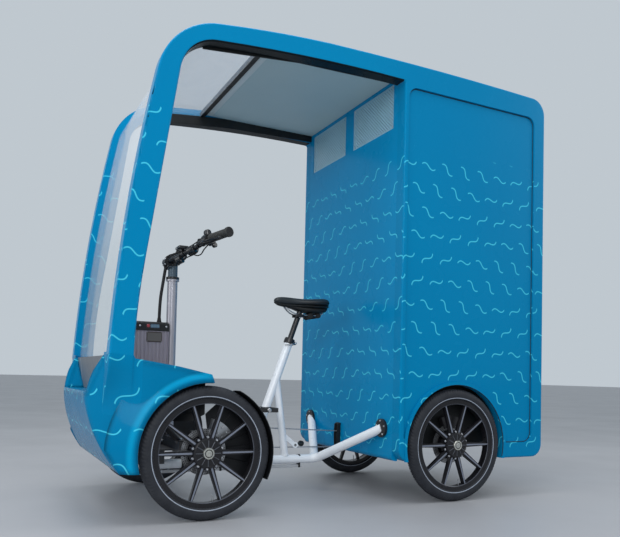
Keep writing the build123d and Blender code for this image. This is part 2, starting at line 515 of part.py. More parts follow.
# Seat post with its clamp, and the saddle
SADDLE_Z = 892.0
CLAMP_R = 24.0
CLAMP_H = 26.0
SADDLE_AHEAD = 81.0
SADDLE_L = 294.0
SADDLE_NOSE_X = SEAT_TOP_X + SADDLE_AHEAD
SADDLE_TAIL_X = SADDLE_NOSE_X - SADDLE_L
SADDLE_W = 158.0
SADDLE_RAISE = 50.0
SADDLE_TOP_Z = SADDLE_Z + SADDLE_RAISE
SADDLE_H = 46.0
post_top = seat_top + seat_axis * ((SADDLE_Z - SEAT_TOP_Z) / seat_axis.Z)
seat_post = rod(tuple(post_foot + seat_axis * SEAT_GAP), tuple(post_top), SEAT_POST_R)
seat_post += rod(tuple(seat_top + seat_axis * SEAT_GAP), tuple(seat_top + seat_axis * CLAMP_H), CLAMP_R)
RAIL_GAP_Y = 22.0
RAIL_R = 4.0
seat_post += block(post_top.X - CLAMP_R, post_top.X + CLAMP_R, -RAIL_GAP_Y - RAIL_R, RAIL_GAP_Y + RAIL_R,
                   SADDLE_Z - CLAMP_R / 2, SADDLE_TOP_Z - SADDLE_H - SEAT_GAP)
save("seat_post", seat_post)

saddle_x_shares = (0.0, 0.06, 0.30, 0.55, 0.85, 1.0)
saddle_w_shares = (0.45, 0.80, 1.0, 0.55, 0.27, 0.16)
half_outline = [(SADDLE_TAIL_X + x * SADDLE_L, w * SADDLE_W / 2) for x, w in zip(saddle_x_shares, saddle_w_shares)]
saddle_line = Spline(*half_outline)
saddle_mirror = mirror(saddle_line, about=Plane.XZ)
tail_line = Line(half_outline[0], (half_outline[0][0], -half_outline[0][1]))
nose_line = Line(half_outline[-1], (half_outline[-1][0], -half_outline[-1][1]))
saddle_plan = make_face([saddle_line, nose_line, saddle_mirror, tail_line])
saddle = extrude(Pos(0, 0, SADDLE_TOP_Z - SADDLE_H) * saddle_plan, amount=SADDLE_H)
saddle_profile = [(SADDLE_TAIL_X - CLAMP_R, SADDLE_TOP_Z - SADDLE_H), (SADDLE_TAIL_X - CLAMP_R, SADDLE_TOP_Z),
                  (SADDLE_TAIL_X + SADDLE_L * 0.3, SADDLE_TOP_Z - SADDLE_H * 0.25),
                  (SADDLE_NOSE_X - SADDLE_L * 0.2, SADDLE_TOP_Z - SADDLE_H * 0.05),
                  (SADDLE_NOSE_X + CLAMP_R, SADDLE_TOP_Z - SADDLE_H * 0.5),
                  (SADDLE_NOSE_X + CLAMP_R, SADDLE_TOP_Z - SADDLE_H * 0.7),
                  (SADDLE_NOSE_X - SADDLE_L * 0.5, SADDLE_TOP_Z - SADDLE_H)]
saddle &= across(make_face(Polyline(*saddle_profile, close=True)), -SADDLE_W, SADDLE_W)
save("saddle", saddle)

# Front subframe: cross beam, king pins, centre plate, battery tray and lower plate
KING_IN = 88.0
KING_Y = WHEEL_Y - KING_IN
KING_PIN_R = 10.0
BEAM_BACK = 25.0
BEAM_DROP = 17.0
BEAM_H = 50.0
BEAM_X0 = FRONT_X - BEAM_BACK
BEAM_X1 = FRONT_X + BEAM_AHEAD
BEAM_Z0 = TYRE_R - BEAM_DROP
BEAM_Z1 = BEAM_Z0 + BEAM_H
YOKE_REACH = 55.0
BEAM_END_Y = KING_Y - YOKE_REACH
EYE_T = 12.0
EYE_R = 22.0
EYE_SPREAD = 71.0
EYE_LOW_Z = TYRE_R - EYE_SPREAD
EYE_TOP_Z = TYRE_R + EYE_SPREAD
COLUMN_AHEAD = 25.0
COLUMN_X = FRONT_X + COLUMN_AHEAD
COLUMN_R = 22.5
STEERER_R = 15.0
TRAY_T = 5.0
TRAY_RAISE = 10.0
TRAY_Z = BEAM_Z1 + TRAY_RAISE
BATTERY_AHEAD = 24.0
BATTERY_L = 148.0
BATTERY_X0 = COLUMN_X + BATTERY_AHEAD
BATTERY_X1 = BATTERY_X0 + BATTERY_L
BATTERY_Y = 55.0
PLATE_AHEAD = 62.0
PLATE_X1 = BATTERY_X1 + PLATE_AHEAD
PLATE_DROP = 32.0
PLATE_LOW_Z = TYRE_R - PLATE_DROP
PLATE_T = 6.0
PLATE_IN = 250.0
PLATE_Y = SIDE_Y - PLATE_IN
subframe = block(BEAM_X0, BEAM_X1, -BEAM_END_Y, BEAM_END_Y, BEAM_Z0, BEAM_Z1)
yoke = block(FRONT_X - EYE_R, FRONT_X + EYE_R, BEAM_END_Y - EYE_T, BEAM_END_Y, EYE_LOW_Z, EYE_TOP_Z)
for eye_z in (EYE_LOW_Z, EYE_TOP_Z - EYE_T):
    yoke += block(FRONT_X - EYE_R, FRONT_X + EYE_R, BEAM_END_Y - EYE_T, KING_Y, eye_z, eye_z + EYE_T)
    yoke += Pos(FRONT_X, KING_Y, eye_z + EYE_T / 2) * Cylinder(EYE_R, EYE_T)
yoke += Pos(FRONT_X, KING_Y, (EYE_LOW_Z + EYE_TOP_Z) / 2) * Cylinder(KING_PIN_R, EYE_TOP_Z - EYE_LOW_Z)
subframe += yoke + mirrored(yoke)
subframe += block(BEAM_X1, PLATE_X1, -PLATE_Y, PLATE_Y, PLATE_LOW_Z + PLATE_T * 3, PLATE_LOW_Z + PLATE_T * 4)
subframe += block(BATTERY_X0, BATTERY_X1, -BATTERY_Y, BATTERY_Y, TRAY_Z - TRAY_T, TRAY_Z)
subframe += block(BATTERY_X0, BEAM_X1, -BATTERY_Y, BATTERY_Y, BEAM_Z1, TRAY_Z)
subframe += block(BATTERY_X1 - TRAY_T, BATTERY_X1, -BATTERY_Y, BATTERY_Y, PLATE_LOW_Z + PLATE_T * 4, TRAY_Z)
subframe -= Pos(COLUMN_X, 0, TRAY_Z) * Cylinder(STEERER_R + BEARING_GAP, TRAY_Z)
PEDESTAL_L = 22.0
subframe += block(BEAM_X1 - PEDESTAL_L, BEAM_X1, -SPINE_R, SPINE_R, SPINE_Z, BEAM_Z0)
subframe -= rod((SPINE_FRONT_X + SEAT_GAP, 0, SPINE_Z), (FORK_X, 0, SPINE_Z), SPINE_R + SEAT_GAP)
BRACE_R = 12.0
for side in (-1, 1):
    subframe += rod((BEAM_X1 - EYE_T, side * BEAM_END_Y * 0.9, BEAM_Z1 - EYE_T),
                    (FOOT_WELL_X + NOSE_T * 8, side * PLATE_Y, LEDGE_MID_Z - NOSE_T * 6), BRACE_R)
save("front_subframe", subframe)

# Knuckles on the king pins: barrel, stub axle, steering arm, brake bracket and caliper
KNUCKLE_Z0 = EYE_LOW_Z + EYE_T + SEAT_GAP
KNUCKLE_Z1 = EYE_TOP_Z - EYE_T - SEAT_GAP
ARM_L = 70.0
ARM_DROP = 40.0
ARM_Z0 = TYRE_R - ARM_DROP
ARM_T = 10.0
ARM_PIN_R = 6.0
ARM_PIN_L = 20.0
ARM_PIN_LOW_Z = ARM_Z0 - ARM_PIN_L
AXLE_R = 10.0
AXLE_END_Y = SIDE_Y
HUB_IN = 41.0
HUB_IN_Y = WHEEL_Y - HUB_IN
SHOULDER_R = 24.0
CALIPER_R0 = 76.0
CALIPER_R1 = 132.0
CALIPER_W = 34.0
DISC_IN = 35.0
DISC_Y = WHEEL_Y - DISC_IN
DISC_BRAKE_R = 90.0
DISC_BRAKE_T = 2.5
PAD_GAP = 1.0
CALIPER_ANGLES = (105.0, 150.0)


def ring_sector(center_x, y0, y1, r0, r1, a0, a1):
    """Part of a ring round a wheel axle, angles in degrees from +X towards +Z."""
    points = []
    steps = 12
    for i in range(steps + 1):
        a = math.radians(a0 + (a1 - a0) * i / steps)
        points.append((r1 * math.cos(a), r1 * math.sin(a)))
    for i in range(steps + 1):
        a = math.radians(a1 + (a0 - a1) * i / steps)
        points.append((r0 * math.cos(a), r0 * math.sin(a)))
    face = Pos(center_x, TYRE_R) * make_face(Polyline(*points, close=True))
    return across(face, y0, y1)


def caliper(center_x, a0, a1):
    solid = ring_sector(center_x, DISC_Y - CALIPER_W / 2, DISC_Y + CALIPER_W / 4, CALIPER_R0, CALIPER_R1, a0, a1)
    slot_r = DISC_BRAKE_R + PAD_GAP * 4
    slot = Pos(center_x, DISC_Y, TYRE_R) * Rot(X=90) * Cylinder(slot_r, DISC_BRAKE_T + PAD_GAP * 2)
    return solid - slot


knuckle = Pos(FRONT_X, KING_Y, (KNUCKLE_Z0 + KNUCKLE_Z1) / 2) * Cylinder(EYE_R, KNUCKLE_Z1 - KNUCKLE_Z0)
knuckle += rod((FRONT_X, KING_Y, TYRE_R), (FRONT_X, HUB_IN_Y - SEAT_GAP, TYRE_R), SHOULDER_R)
knuckle += rod((FRONT_X, KING_Y, TYRE_R), (FRONT_X, AXLE_END_Y, TYRE_R), AXLE_R)
knuckle += block(FRONT_X - ARM_L, FRONT_X, KING_Y - ARM_T, KING_Y + ARM_T, ARM_Z0, ARM_Z0 + ARM_T)
knuckle += Pos(FRONT_X - ARM_L, KING_Y, ARM_Z0 + ARM_T / 2) * Cylinder(ARM_T * 1.2, ARM_T)
knuckle += Pos(FRONT_X - ARM_L, KING_Y, (ARM_PIN_LOW_Z + ARM_Z0) / 2) * Cylinder(ARM_PIN_R, ARM_Z0 - ARM_PIN_LOW_Z)
bracket_y = HUB_IN_Y - SHOULDER_R
knuckle += ring_sector(FRONT_X, bracket_y - ARM_T / 2, bracket_y + ARM_T / 2, SHOULDER_R / 2, CALIPER_R1 - EYE_T,
                       CALIPER_ANGLES[0] + ARM_T, CALIPER_ANGLES[1] - ARM_T)
knuckle += ring_sector(FRONT_X, bracket_y, DISC_Y - CALIPER_W / 4, DISC_BRAKE_R + EYE_T, CALIPER_R1,
                       CALIPER_ANGLES[0] + ARM_T, CALIPER_ANGLES[1] - ARM_T)
knuckle += caliper(FRONT_X, *CALIPER_ANGLES)
knuckle -= Pos(FRONT_X, KING_Y, TYRE_R) * Cylinder(KING_PIN_R + BEARING_GAP, TYRE_R)
save("left_knuckle", knuckle)
save("right_knuckle", mirrored(knuckle))

# Mudguards behind the front tyres, turning with the knuckles
GUARD_CLEAR = 8.0
GUARD_R = TYRE_R + GUARD_CLEAR
GUARD_T = 3.0
GUARD_W = 62.0
GUARD_ANGLES = (117.0, 204.0)
GUARD_STAY_ANGLE = 176.0
GUARD_STAY_W = 2.5
GUARD_STAY_IN = 49.0
GUARD_STAY_Y = WHEEL_Y - GUARD_STAY_IN
GUARD_STAY_T = 5.0
guard_y0 = WHEEL_Y - GUARD_W / 2
guard = ring_sector(FRONT_X, guard_y0, guard_y0 + GUARD_W, GUARD_R, GUARD_R + GUARD_T, *GUARD_ANGLES)
stay_angles = (GUARD_STAY_ANGLE - GUARD_STAY_W, GUARD_STAY_ANGLE + GUARD_STAY_W)
guard += ring_sector(FRONT_X, GUARD_STAY_Y, GUARD_STAY_Y + GUARD_STAY_T, SHOULDER_R + SEAT_GAP, GUARD_R + GUARD_T,
                     *stay_angles)
guard += ring_sector(FRONT_X, GUARD_STAY_Y, WHEEL_Y, GUARD_R, GUARD_R + GUARD_T, *stay_angles)
save("left_mudguard", guard)
save("right_mudguard", mirrored(guard))

# Tie rod joining both steering arms and the arm of the column
TIE_R = 7.0
TIE_Z = ARM_Z0 - ARM_PIN_L / 2
TIE_EYE_R = 14.0
TIE_EYE_T = 16.0
tie_x = FRONT_X - ARM_L
column_pin_x = COLUMN_X - ARM_L
tie = rod((tie_x, -KING_Y, TIE_Z), (tie_x, KING_Y, TIE_Z), TIE_R)
tie += block(tie_x, column_pin_x, -TIE_EYE_R, TIE_EYE_R, TIE_Z - TIE_EYE_T / 2, TIE_Z + TIE_EYE_T / 2)
for pin_x, pin_y in ((tie_x, KING_Y), (tie_x, -KING_Y), (column_pin_x, 0)):
    tie += Pos(pin_x, pin_y, TIE_Z) * Cylinder(TIE_EYE_R, TIE_EYE_T)
for pin_x, pin_y in ((tie_x, KING_Y), (tie_x, -KING_Y), (column_pin_x, 0)):
    tie -= Pos(pin_x, pin_y, TIE_Z) * Cylinder(ARM_PIN_R + BEARING_GAP, TIE_EYE_T * 2)
save("tie_rod", tie)

# Steering column tube with its collar, and the handlebar turning in it
COLLAR_Z0 = 968.0
COLLAR_Z1 = 986.0
COLLAR_R = 29.0
column = Pos(COLUMN_X, 0, (BEAM_Z1 + COLLAR_Z1) / 2) * Cylinder(COLUMN_R, COLLAR_Z1 - BEAM_Z1 - SEAT_GAP)
column += Pos(COLUMN_X, 0, (COLLAR_Z0 + COLLAR_Z1) / 2) * Cylinder(COLLAR_R, COLLAR_Z1 - COLLAR_Z0)
column -= Pos(COLUMN_X, 0, COLLAR_Z1 / 2) * Cylinder(STEERER_R + BEARING_GAP, COLLAR_Z1 * 2)
save("column_tube", column)

STEM_Z = 1052.0
STEM_TOP_Z = 1068.0
STEM_R = 21.0
STEM_REACH = 24.0
BAR_CLAMP_X = COLUMN_X + STEM_REACH
BAR_R = 11.0
BAR_CLAMP_R = 17.0
BAR_CLAMP_W = 60.0
BAR_BACK = 162.0
BAR_RISE = 94.0
BAR_HALF_W = 340.0
BAR_BEND_R = 60.0
BAR_POINT_SHARES = ((0.0, 0.0, 0.0), (0.031, 0.176, 0.053), (0.4815, 0.441, 0.521), (0.753, 0.682, 0.872),
                    (1.0, 1.0, 1.0))
GRIP_R = 17.0
steerer_low_z = ARM_Z0
handlebar = Pos(COLUMN_X, 0, (steerer_low_z + STEM_TOP_Z) / 2) * Cylinder(STEERER_R, STEM_TOP_Z - steerer_low_z)
handlebar += Pos(COLUMN_X, 0, (COLLAR_Z1 + SEAT_GAP + STEM_TOP_Z) / 2) * Cylinder(
    STEM_R, STEM_TOP_Z - COLLAR_Z1 - SEAT_GAP)
handlebar += block(column_pin_x, COLUMN_X, -ARM_T, ARM_T, ARM_Z0, ARM_Z0 + ARM_T)
handlebar += Pos(column_pin_x, 0, ARM_Z0 + ARM_T / 2) * Cylinder(ARM_T * 1.2, ARM_T)
handlebar += Pos(column_pin_x, 0, (ARM_PIN_LOW_Z + ARM_Z0) / 2) * Cylinder(ARM_PIN_R, ARM_Z0 - ARM_PIN_LOW_Z)
bar_points = [(BAR_CLAMP_X - x * BAR_BACK, y * BAR_HALF_W, STEM_Z + z * BAR_RISE) for x, y, z in BAR_POINT_SHARES]
half_bar = bent_rod(bar_points, BAR_BEND_R, BAR_R)
handlebar += half_bar + mirrored(half_bar)
handlebar += Pos(BAR_CLAMP_X, 0, STEM_Z) * Rot(X=90) * Cylinder(BAR_CLAMP_R, BAR_CLAMP_W)
handlebar += block(COLUMN_X, BAR_CLAMP_X, -BAR_CLAMP_R, BAR_CLAMP_R, STEM_Z - BAR_CLAMP_R, STEM_TOP_Z)
save("handlebar", handlebar)

# Grips, brake levers, bell-shaped display and shifters on the bar
grip_start = Vector(*bar_points[3])
grip_end = Vector(*bar_points[4])
grip_axis = (grip_end - grip_start).normalized()
grip = rod(tuple(grip_start), tuple(grip_end + grip_axis * ARM_T), GRIP_R)
controls = grip
HOUSING_L = 42.0
HOUSING_GAP = 8.0
LEVER_R = 5.0
LEVER_ROOT = Vector(24.0, 8.0, -6.0)
LEVER_ELBOW = Vector(42.0, 0, -30.0)
LEVER_TIP = Vector(34.0, -14.0, -30.0)
LEVER_CLAMP_R = 11.0
CLAMP_ROOT = Vector(0, 4.0, 0)
CLAMP_TIP = Vector(30.0, 12.0, -9.0)
housing_start = grip_start - grip_axis * HOUSING_L
controls += rod(tuple(housing_start), tuple(grip_start - grip_axis * HOUSING_GAP), GRIP_R * 1.25)
lever_points = [tuple(housing_start + LEVER_ROOT), tuple(grip_start + LEVER_ELBOW), tuple(grip_end + LEVER_TIP)]
controls += bent_rod(lever_points, BAR_BEND_R / 2, LEVER_R)
controls += rod(tuple(housing_start + CLAMP_ROOT), tuple(housing_start + CLAMP_TIP), LEVER_CLAMP_R)
controls -= bent_rod(bar_points, BAR_BEND_R, BAR_R + BEARING_GAP)
save("grips_and_controls", controls + mirrored(controls))

# Battery: ribbed case standing on the tray, with a rounded black cap
BATTERY_CAP_Z = 740.0
BATTERY_TOP_Z = 779.0
BATTERY_RIBS = 9
RIB_DEPTH = 3.0
RIB_SHARE = 0.45
battery = block(BATTERY_X0, BATTERY_X1, -BATTERY_Y, BATTERY_Y, TRAY_Z + SEAT_GAP, BATTERY_CAP_Z - SEAT_GAP)
rib_pitch = (BATTERY_X1 - BATTERY_X0) / BATTERY_RIBS
for i in range(BATTERY_RIBS):
    groove_x = BATTERY_X0 + rib_pitch * (i + (1 - RIB_SHARE) / 2)
    for side in (-1, 1):
        battery -= block(groove_x, groove_x + rib_pitch * RIB_SHARE, side * (BATTERY_Y - RIB_DEPTH),
                         side * (BATTERY_Y + RIB_DEPTH), TRAY_Z, BATTERY_CAP_Z)
save("battery_case", battery)
CAP_OVER = 4.0
CAP_EDGE_R = 12.0
cap = block(BATTERY_X0 - SEAT_GAP, BATTERY_X1 + CAP_OVER, -BATTERY_Y - CAP_OVER, BATTERY_Y + CAP_OVER,
            BATTERY_CAP_Z, BATTERY_TOP_Z)
cap = fillet(cap.faces().sort_by(Axis.Z)[-1].edges(), CAP_EDGE_R)
save("battery_cap", cap)

# Cable loom from the bar down to the battery cap
LOOM_R = 7.0
LOOM_BEND_R = 50.0
LOOM_TOP_AHEAD = 34.0
LOOM_TOP_DROP = 30.0
LOOM_MID_AHEAD = 43.0
LOOM_MID_DROP = 94.0
LOOM_FOOT_AHEAD = 55.0
LOOM_FOOT_H = 91.0
LOOM_FOOT_X = COLUMN_X + LOOM_FOOT_AHEAD
loom_points = [(COLUMN_X + LOOM_TOP_AHEAD, 0, STEM_Z - LOOM_TOP_DROP),
               (COLUMN_X + LOOM_MID_AHEAD, 0, STEM_Z - LOOM_MID_DROP),
               (LOOM_FOOT_X, 0, BATTERY_TOP_Z + LOOM_FOOT_H), (LOOM_FOOT_X, 0, BATTERY_TOP_Z + SEAT_GAP)]
save("cable_loom", bent_rod(loom_points, LOOM_BEND_R, LOOM_R))

# Wheels: tyre and ten-spoke rim with hub, brake disc and hub cap
TYRE_H = 49.0
BEAD_H = 5.0
RIM_H = 18.0
RIM_R = TYRE_R - TYRE_H
BEAD_R = RIM_R - BEAD_H
RIM_IN_R = RIM_R - RIM_H
RIM_W = 40.0
HUB_R = 56.0
HUB_CAP_OUT = 36.0
SPOKE_COUNT = 10
SPOKE_FOOT_W = 24.0
SPOKE_TIP_W = 13.0
SPOKE_T = 16.0
RIDGE_FOOT_W = 8.0
RIDGE_TIP_W = 5.0
RIDGE_H = 5.0
FLANGE_W = 3.0
TYRE_CROWN_SHARES = ((0.0, 1.0), (0.45, 0.958), (0.80, 0.801), (1.0, 0.502), (0.97, 0.213), (0.72, 0.020),
                     (0.605, 0.020), (0.605, -0.091))


def turned(points, center_x):
    """Solid turned about a wheel axle from (y, radius) points, y counted from the wheel's middle."""
    face = make_face(Polyline(*points, close=True))
    solid = revolve(Plane.XY * face, axis=Axis.X)
    return Pos(center_x, WHEEL_Y, TYRE_R) * Rot(Z=90) * solid


half_tyre = [(y * TYRE_W / 2, RIM_R + r * TYRE_H) for y, r in TYRE_CROWN_SHARES]
tyre_points = [(-y, r) for y, r in half_tyre[:0:-1]] + half_tyre
rim_points = [(-RIM_W / 2, RIM_R), (-RIM_W / 2 + FLANGE_W, RIM_R), (-RIM_W / 2 + FLANGE_W, BEAD_R - SEAT_GAP),
              (RIM_W / 2 - FLANGE_W, BEAD_R - SEAT_GAP), (RIM_W / 2 - FLANGE_W, RIM_R), (RIM_W / 2, RIM_R),
              (RIM_W / 2, RIM_IN_R), (-RIM_W / 2, RIM_IN_R)]
hub_in = HUB_IN_Y - WHEEL_Y
disc_offset = DISC_Y - WHEEL_Y
hub_points = [(hub_in, AXLE_R + BEARING_GAP), (hub_in, HUB_R / 2), (disc_offset - DISC_BRAKE_T / 2, HUB_R / 2),
              (disc_offset - DISC_BRAKE_T / 2, DISC_BRAKE_R), (disc_offset + DISC_BRAKE_T / 2, DISC_BRAKE_R),
              (disc_offset + DISC_BRAKE_T / 2, HUB_R / 2), (0, HUB_R / 2), (0, HUB_R), (HUB_CAP_OUT * 0.55, HUB_R),
              (HUB_CAP_OUT * 0.75, HUB_R * 0.9), (HUB_CAP_OUT * 0.8, HUB_R * 0.4), (HUB_CAP_OUT, HUB_R * 0.36),
              (HUB_CAP_OUT, 0), (AXLE_END_Y - WHEEL_Y + SEAT_GAP, 0),
              (AXLE_END_Y - WHEEL_Y + SEAT_GAP, AXLE_R + BEARING_GAP)]


def spoke_face(foot_w, tip_w):
    """Tapering spoke seen along the axle, from inside the hub to inside the rim."""
    foot_x = HUB_R * 0.8
    tip_x = RIM_IN_R + FLANGE_W
    return make_face(Polyline((foot_x, -foot_w / 2), (tip_x, -tip_w / 2), (tip_x, tip_w / 2), (foot_x, foot_w / 2),
                              close=True))


def wheel_pair(center_x):
    tyre = turned(tyre_points, center_x)
    rim = turned(rim_points, center_x) + turned(hub_points, center_x)
    spoke_out = SPOKE_T * 0.75
    for i in range(SPOKE_COUNT):
        turn = Rot(Z=360.0 / SPOKE_COUNT * i)
        spoke = across(turn * spoke_face(SPOKE_FOOT_W, SPOKE_TIP_W), spoke_out - SPOKE_T, spoke_out)
        spoke += across(turn * spoke_face(RIDGE_FOOT_W, RIDGE_TIP_W), spoke_out, spoke_out + RIDGE_H)
        rim += Pos(center_x, WHEEL_Y, TYRE_R) * spoke
    return tyre, rim


for name, center_x in (("front", FRONT_X), ("rear", REAR_X)):
    tyre, rim = wheel_pair(center_x)
    save(f"left_{name}_tyre", tyre)
    save(f"right_{name}_tyre", mirrored(tyre))
    save(f"left_{name}_wheel", rim)
    save(f"right_{name}_wheel", mirrored(rim))

# Rear subframe under the box floor: axle tube, stub axles, hangers and calipers
REAR_AXLE_R = 20.0
rear_sub = rod((REAR_X, -HUB_IN_Y + SEAT_GAP, TYRE_R), (REAR_X, HUB_IN_Y - SEAT_GAP, TYRE_R), REAR_AXLE_R)
rear_sub += rod((REAR_X, -AXLE_END_Y, TYRE_R), (REAR_X, AXLE_END_Y, TYRE_R), AXLE_R)
RAIL_IN = 200.0
RAIL_Y = SIDE_Y - RAIL_IN
RAIL_W = 40.0
RAIL_TAIL = 67.0
rail_x0 = BODY_TAIL_X + RAIL_TAIL
for side in (-1, 1):
    rear_sub += block(rail_x0, WALL_BACK_X - SEAT_GAP * 2, side * (RAIL_Y - RAIL_W / 2),
                      side * (RAIL_Y + RAIL_W / 2), FLOOR_Z - RAIL_W - SEAT_GAP, FLOOR_Z - SEAT_GAP)
    rear_sub += block(REAR_X - RAIL_W, REAR_X + RAIL_W, side * (RAIL_Y - RAIL_W / 4), side * (RAIL_Y + RAIL_W / 4),
                      TYRE_R - RAIL_W / 2, FLOOR_Z - RAIL_W / 2)
REAR_CALIPER_ANGLES = (68.0, 112.0)
BRACKET_ANGLES = (80.0, 100.0)
BRACKET_IN = 69.0
BRACKET_Y0 = WHEEL_Y - BRACKET_IN
BRACKET_T = 8.0
rear_caliper = caliper(REAR_X, *REAR_CALIPER_ANGLES)
rear_caliper += ring_sector(REAR_X, BRACKET_Y0, BRACKET_Y0 + BRACKET_T, REAR_AXLE_R - BRACKET_T, CALIPER_R1 - EYE_T,
                            *BRACKET_ANGLES)
rear_caliper += ring_sector(REAR_X, BRACKET_Y0, DISC_Y - CALIPER_W / 4, DISC_BRAKE_R + EYE_T, CALIPER_R1 - EYE_T,
                            *BRACKET_ANGLES)
rear_sub += rear_caliper + mirrored(rear_caliper)
rear_sub += block(rail_x0, rail_x0 + RAIL_W, -RAIL_Y, RAIL_Y, FLOOR_Z - RAIL_W - SEAT_GAP, FLOOR_Z - SEAT_GAP)
SPROCKET_BACK = 72.0
SPROCKET_DROP = 90.0
SPROCKET_X = BOX_FRONT_X - SPROCKET_BACK
SPROCKET_Z = FLOOR_Z - SPROCKET_DROP
SPROCKET_AXLE_R = 8.0
rear_sub += block(SPROCKET_X - RAIL_W / 2, SPROCKET_X + RAIL_W / 2, -RAIL_Y, RAIL_Y,
                  FLOOR_Z - RAIL_W / 2 - SEAT_GAP, FLOOR_Z - SEAT_GAP)
for hanger_y in (CHAIN_Y - RAIL_W / 2, CHAIN_Y + RAIL_W / 2):
    rear_sub += block(SPROCKET_X - RAIL_W / 4, SPROCKET_X + RAIL_W / 4, hanger_y - PLATE_T / 2,
                      hanger_y + PLATE_T / 2, SPROCKET_Z - RAIL_W / 4, FLOOR_Z - RAIL_W / 2)
    hole = Rot(X=90) * Cylinder(SPROCKET_AXLE_R + BEARING_GAP, PLATE_T * 2)
    rear_sub -= Pos(SPROCKET_X, hanger_y, SPROCKET_Z) * hole
save("rear_subframe", rear_sub)

# Crank with chainring, pedals, chain and rear sprocket
CRANK_L = 160.0
CRANK_ANGLE = 120.0
CRANK_ARM_Y = 66.0
CRANK_ARM_T = 12.0
CHAINRING_R = 50.0
SPROCKET_R = 38.0
CHAIN_T = 5.0
CHAIN_H = 7.0
PEDAL_AXLE_R = 6.0
PEDAL_L = 92.0
PEDAL_W = 88.0
PEDAL_T = 20.0
crank_dx = CRANK_L * math.cos(math.radians(CRANK_ANGLE))
crank_dz = CRANK_L * math.sin(math.radians(CRANK_ANGLE))


def crank_place(side, y):
    return (CRANK_X + side * crank_dx, y, CRANK_Z + side * crank_dz)


crankset = rod((CRANK_X, -CRANK_ARM_Y, CRANK_Z), (CRANK_X, CRANK_ARM_Y, CRANK_Z), CRANK_AXLE_R)
for side in (-1, 1):
    arm_y = side * CRANK_ARM_Y
    arm_face = make_face(Polyline((-CRANK_AXLE_R, -CRANK_ARM_T), (-CRANK_AXLE_R, CRANK_ARM_T),
                                  (CRANK_L, CRANK_ARM_T * 0.8), (CRANK_L, -CRANK_ARM_T * 0.8), close=True))
    arm = across(Rot(Z=CRANK_ANGLE + 90.0 * (1 - side)) * arm_face, -CRANK_ARM_T / 2, CRANK_ARM_T / 2)
    crankset += Pos(CRANK_X, arm_y, CRANK_Z) * arm
    crankset += rod((CRANK_X, arm_y - CRANK_ARM_T / 2, CRANK_Z), (CRANK_X, arm_y + CRANK_ARM_T / 2, CRANK_Z),
                    CRANK_ARM_T * 1.4)
    pedal_start = crank_place(side, arm_y + side * CRANK_ARM_T / 2)
    pedal_end = crank_place(side, arm_y + side * (CRANK_ARM_T / 2 + PEDAL_L + PEDAL_AXLE_R))
    crankset += rod(crank_place(side, arm_y - side * CRANK_ARM_T / 2), pedal_start, CRANK_ARM_T)
    crankset += rod(pedal_start, pedal_end, PEDAL_AXLE_R)
chainring = Pos(CRANK_X, CHAIN_Y, CRANK_Z) * Rot(X=90) * Cylinder(CHAINRING_R - CHAIN_H / 2, CHAIN_T / 2)
crankset += chainring
save("crankset", crankset)

pedal_y0 = CRANK_ARM_Y + CRANK_ARM_T / 2 + SEAT_GAP * 4
pedal_x, pedal_y, pedal_z = crank_place(1, 0)
pedal = block(pedal_x - PEDAL_W / 2, pedal_x + PEDAL_W / 2, pedal_y0, pedal_y0 + PEDAL_L, pedal_z - PEDAL_T / 2,
              pedal_z + PEDAL_T / 2)
for step in (-1, 1):
    cut_x = pedal_x + step * PEDAL_W * 0.25
    pedal -= block(cut_x - PEDAL_W * 0.14, cut_x + PEDAL_W * 0.14, pedal_y0 + PEDAL_T / 2,
                   pedal_y0 + PEDAL_L - PEDAL_T / 2, pedal_z - PEDAL_T, pedal_z + PEDAL_T)
pedal -= rod((pedal_x, 0, pedal_z), (pedal_x, SIDE_Y, pedal_z), PEDAL_AXLE_R + BEARING_GAP)
save("left_pedal", pedal)
right_x, right_y, right_z = crank_place(-1, 0)
save("right_pedal", Pos(right_x - pedal_x, 0, right_z - pedal_z) * mirrored(pedal))

chain_span = math.hypot(CRANK_X - SPROCKET_X, CRANK_Z - SPROCKET_Z)
chain_tilt = math.degrees(math.atan2(CRANK_Z - SPROCKET_Z, CRANK_X - SPROCKET_X))
chain_lean = math.asin((CHAINRING_R - SPROCKET_R) / chain_span)


def chain_band(grow):
    big = Circle(CHAINRING_R + grow)
    small = Pos(-chain_span) * Circle(SPROCKET_R + grow)
    tip_a = (math.sin(-chain_lean) * (CHAINRING_R + grow), math.cos(chain_lean) * (CHAINRING_R + grow))
    tip_b = (-chain_span + math.sin(-chain_lean) * (SPROCKET_R + grow), math.cos(chain_lean) * (SPROCKET_R + grow))
    quad = make_face(Polyline(tip_a, tip_b, (tip_b[0], -tip_b[1]), (tip_a[0], -tip_a[1]), close=True))
    return big + small + quad


chain_face = chain_band(CHAIN_H / 2) - chain_band(-CHAIN_H / 2 + SEAT_GAP)
chain = across(Pos(CRANK_X, CRANK_Z) * Rot(Z=chain_tilt) * chain_face, CHAIN_Y - CHAIN_T / 2, CHAIN_Y + CHAIN_T / 2)
save("chain", chain)

sprocket = Pos(SPROCKET_X, CHAIN_Y, SPROCKET_Z) * Rot(X=90) * Cylinder(SPROCKET_R - CHAIN_H / 2, CHAIN_T / 2)
sprocket += Pos(SPROCKET_X, CHAIN_Y, SPROCKET_Z) * Rot(X=90) * Cylinder(SPROCKET_AXLE_R, RAIL_W + PLATE_T)
save("rear_sprocket", sprocket)
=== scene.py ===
import math

import bmesh
import bpy
from mathutils import Matrix, Vector


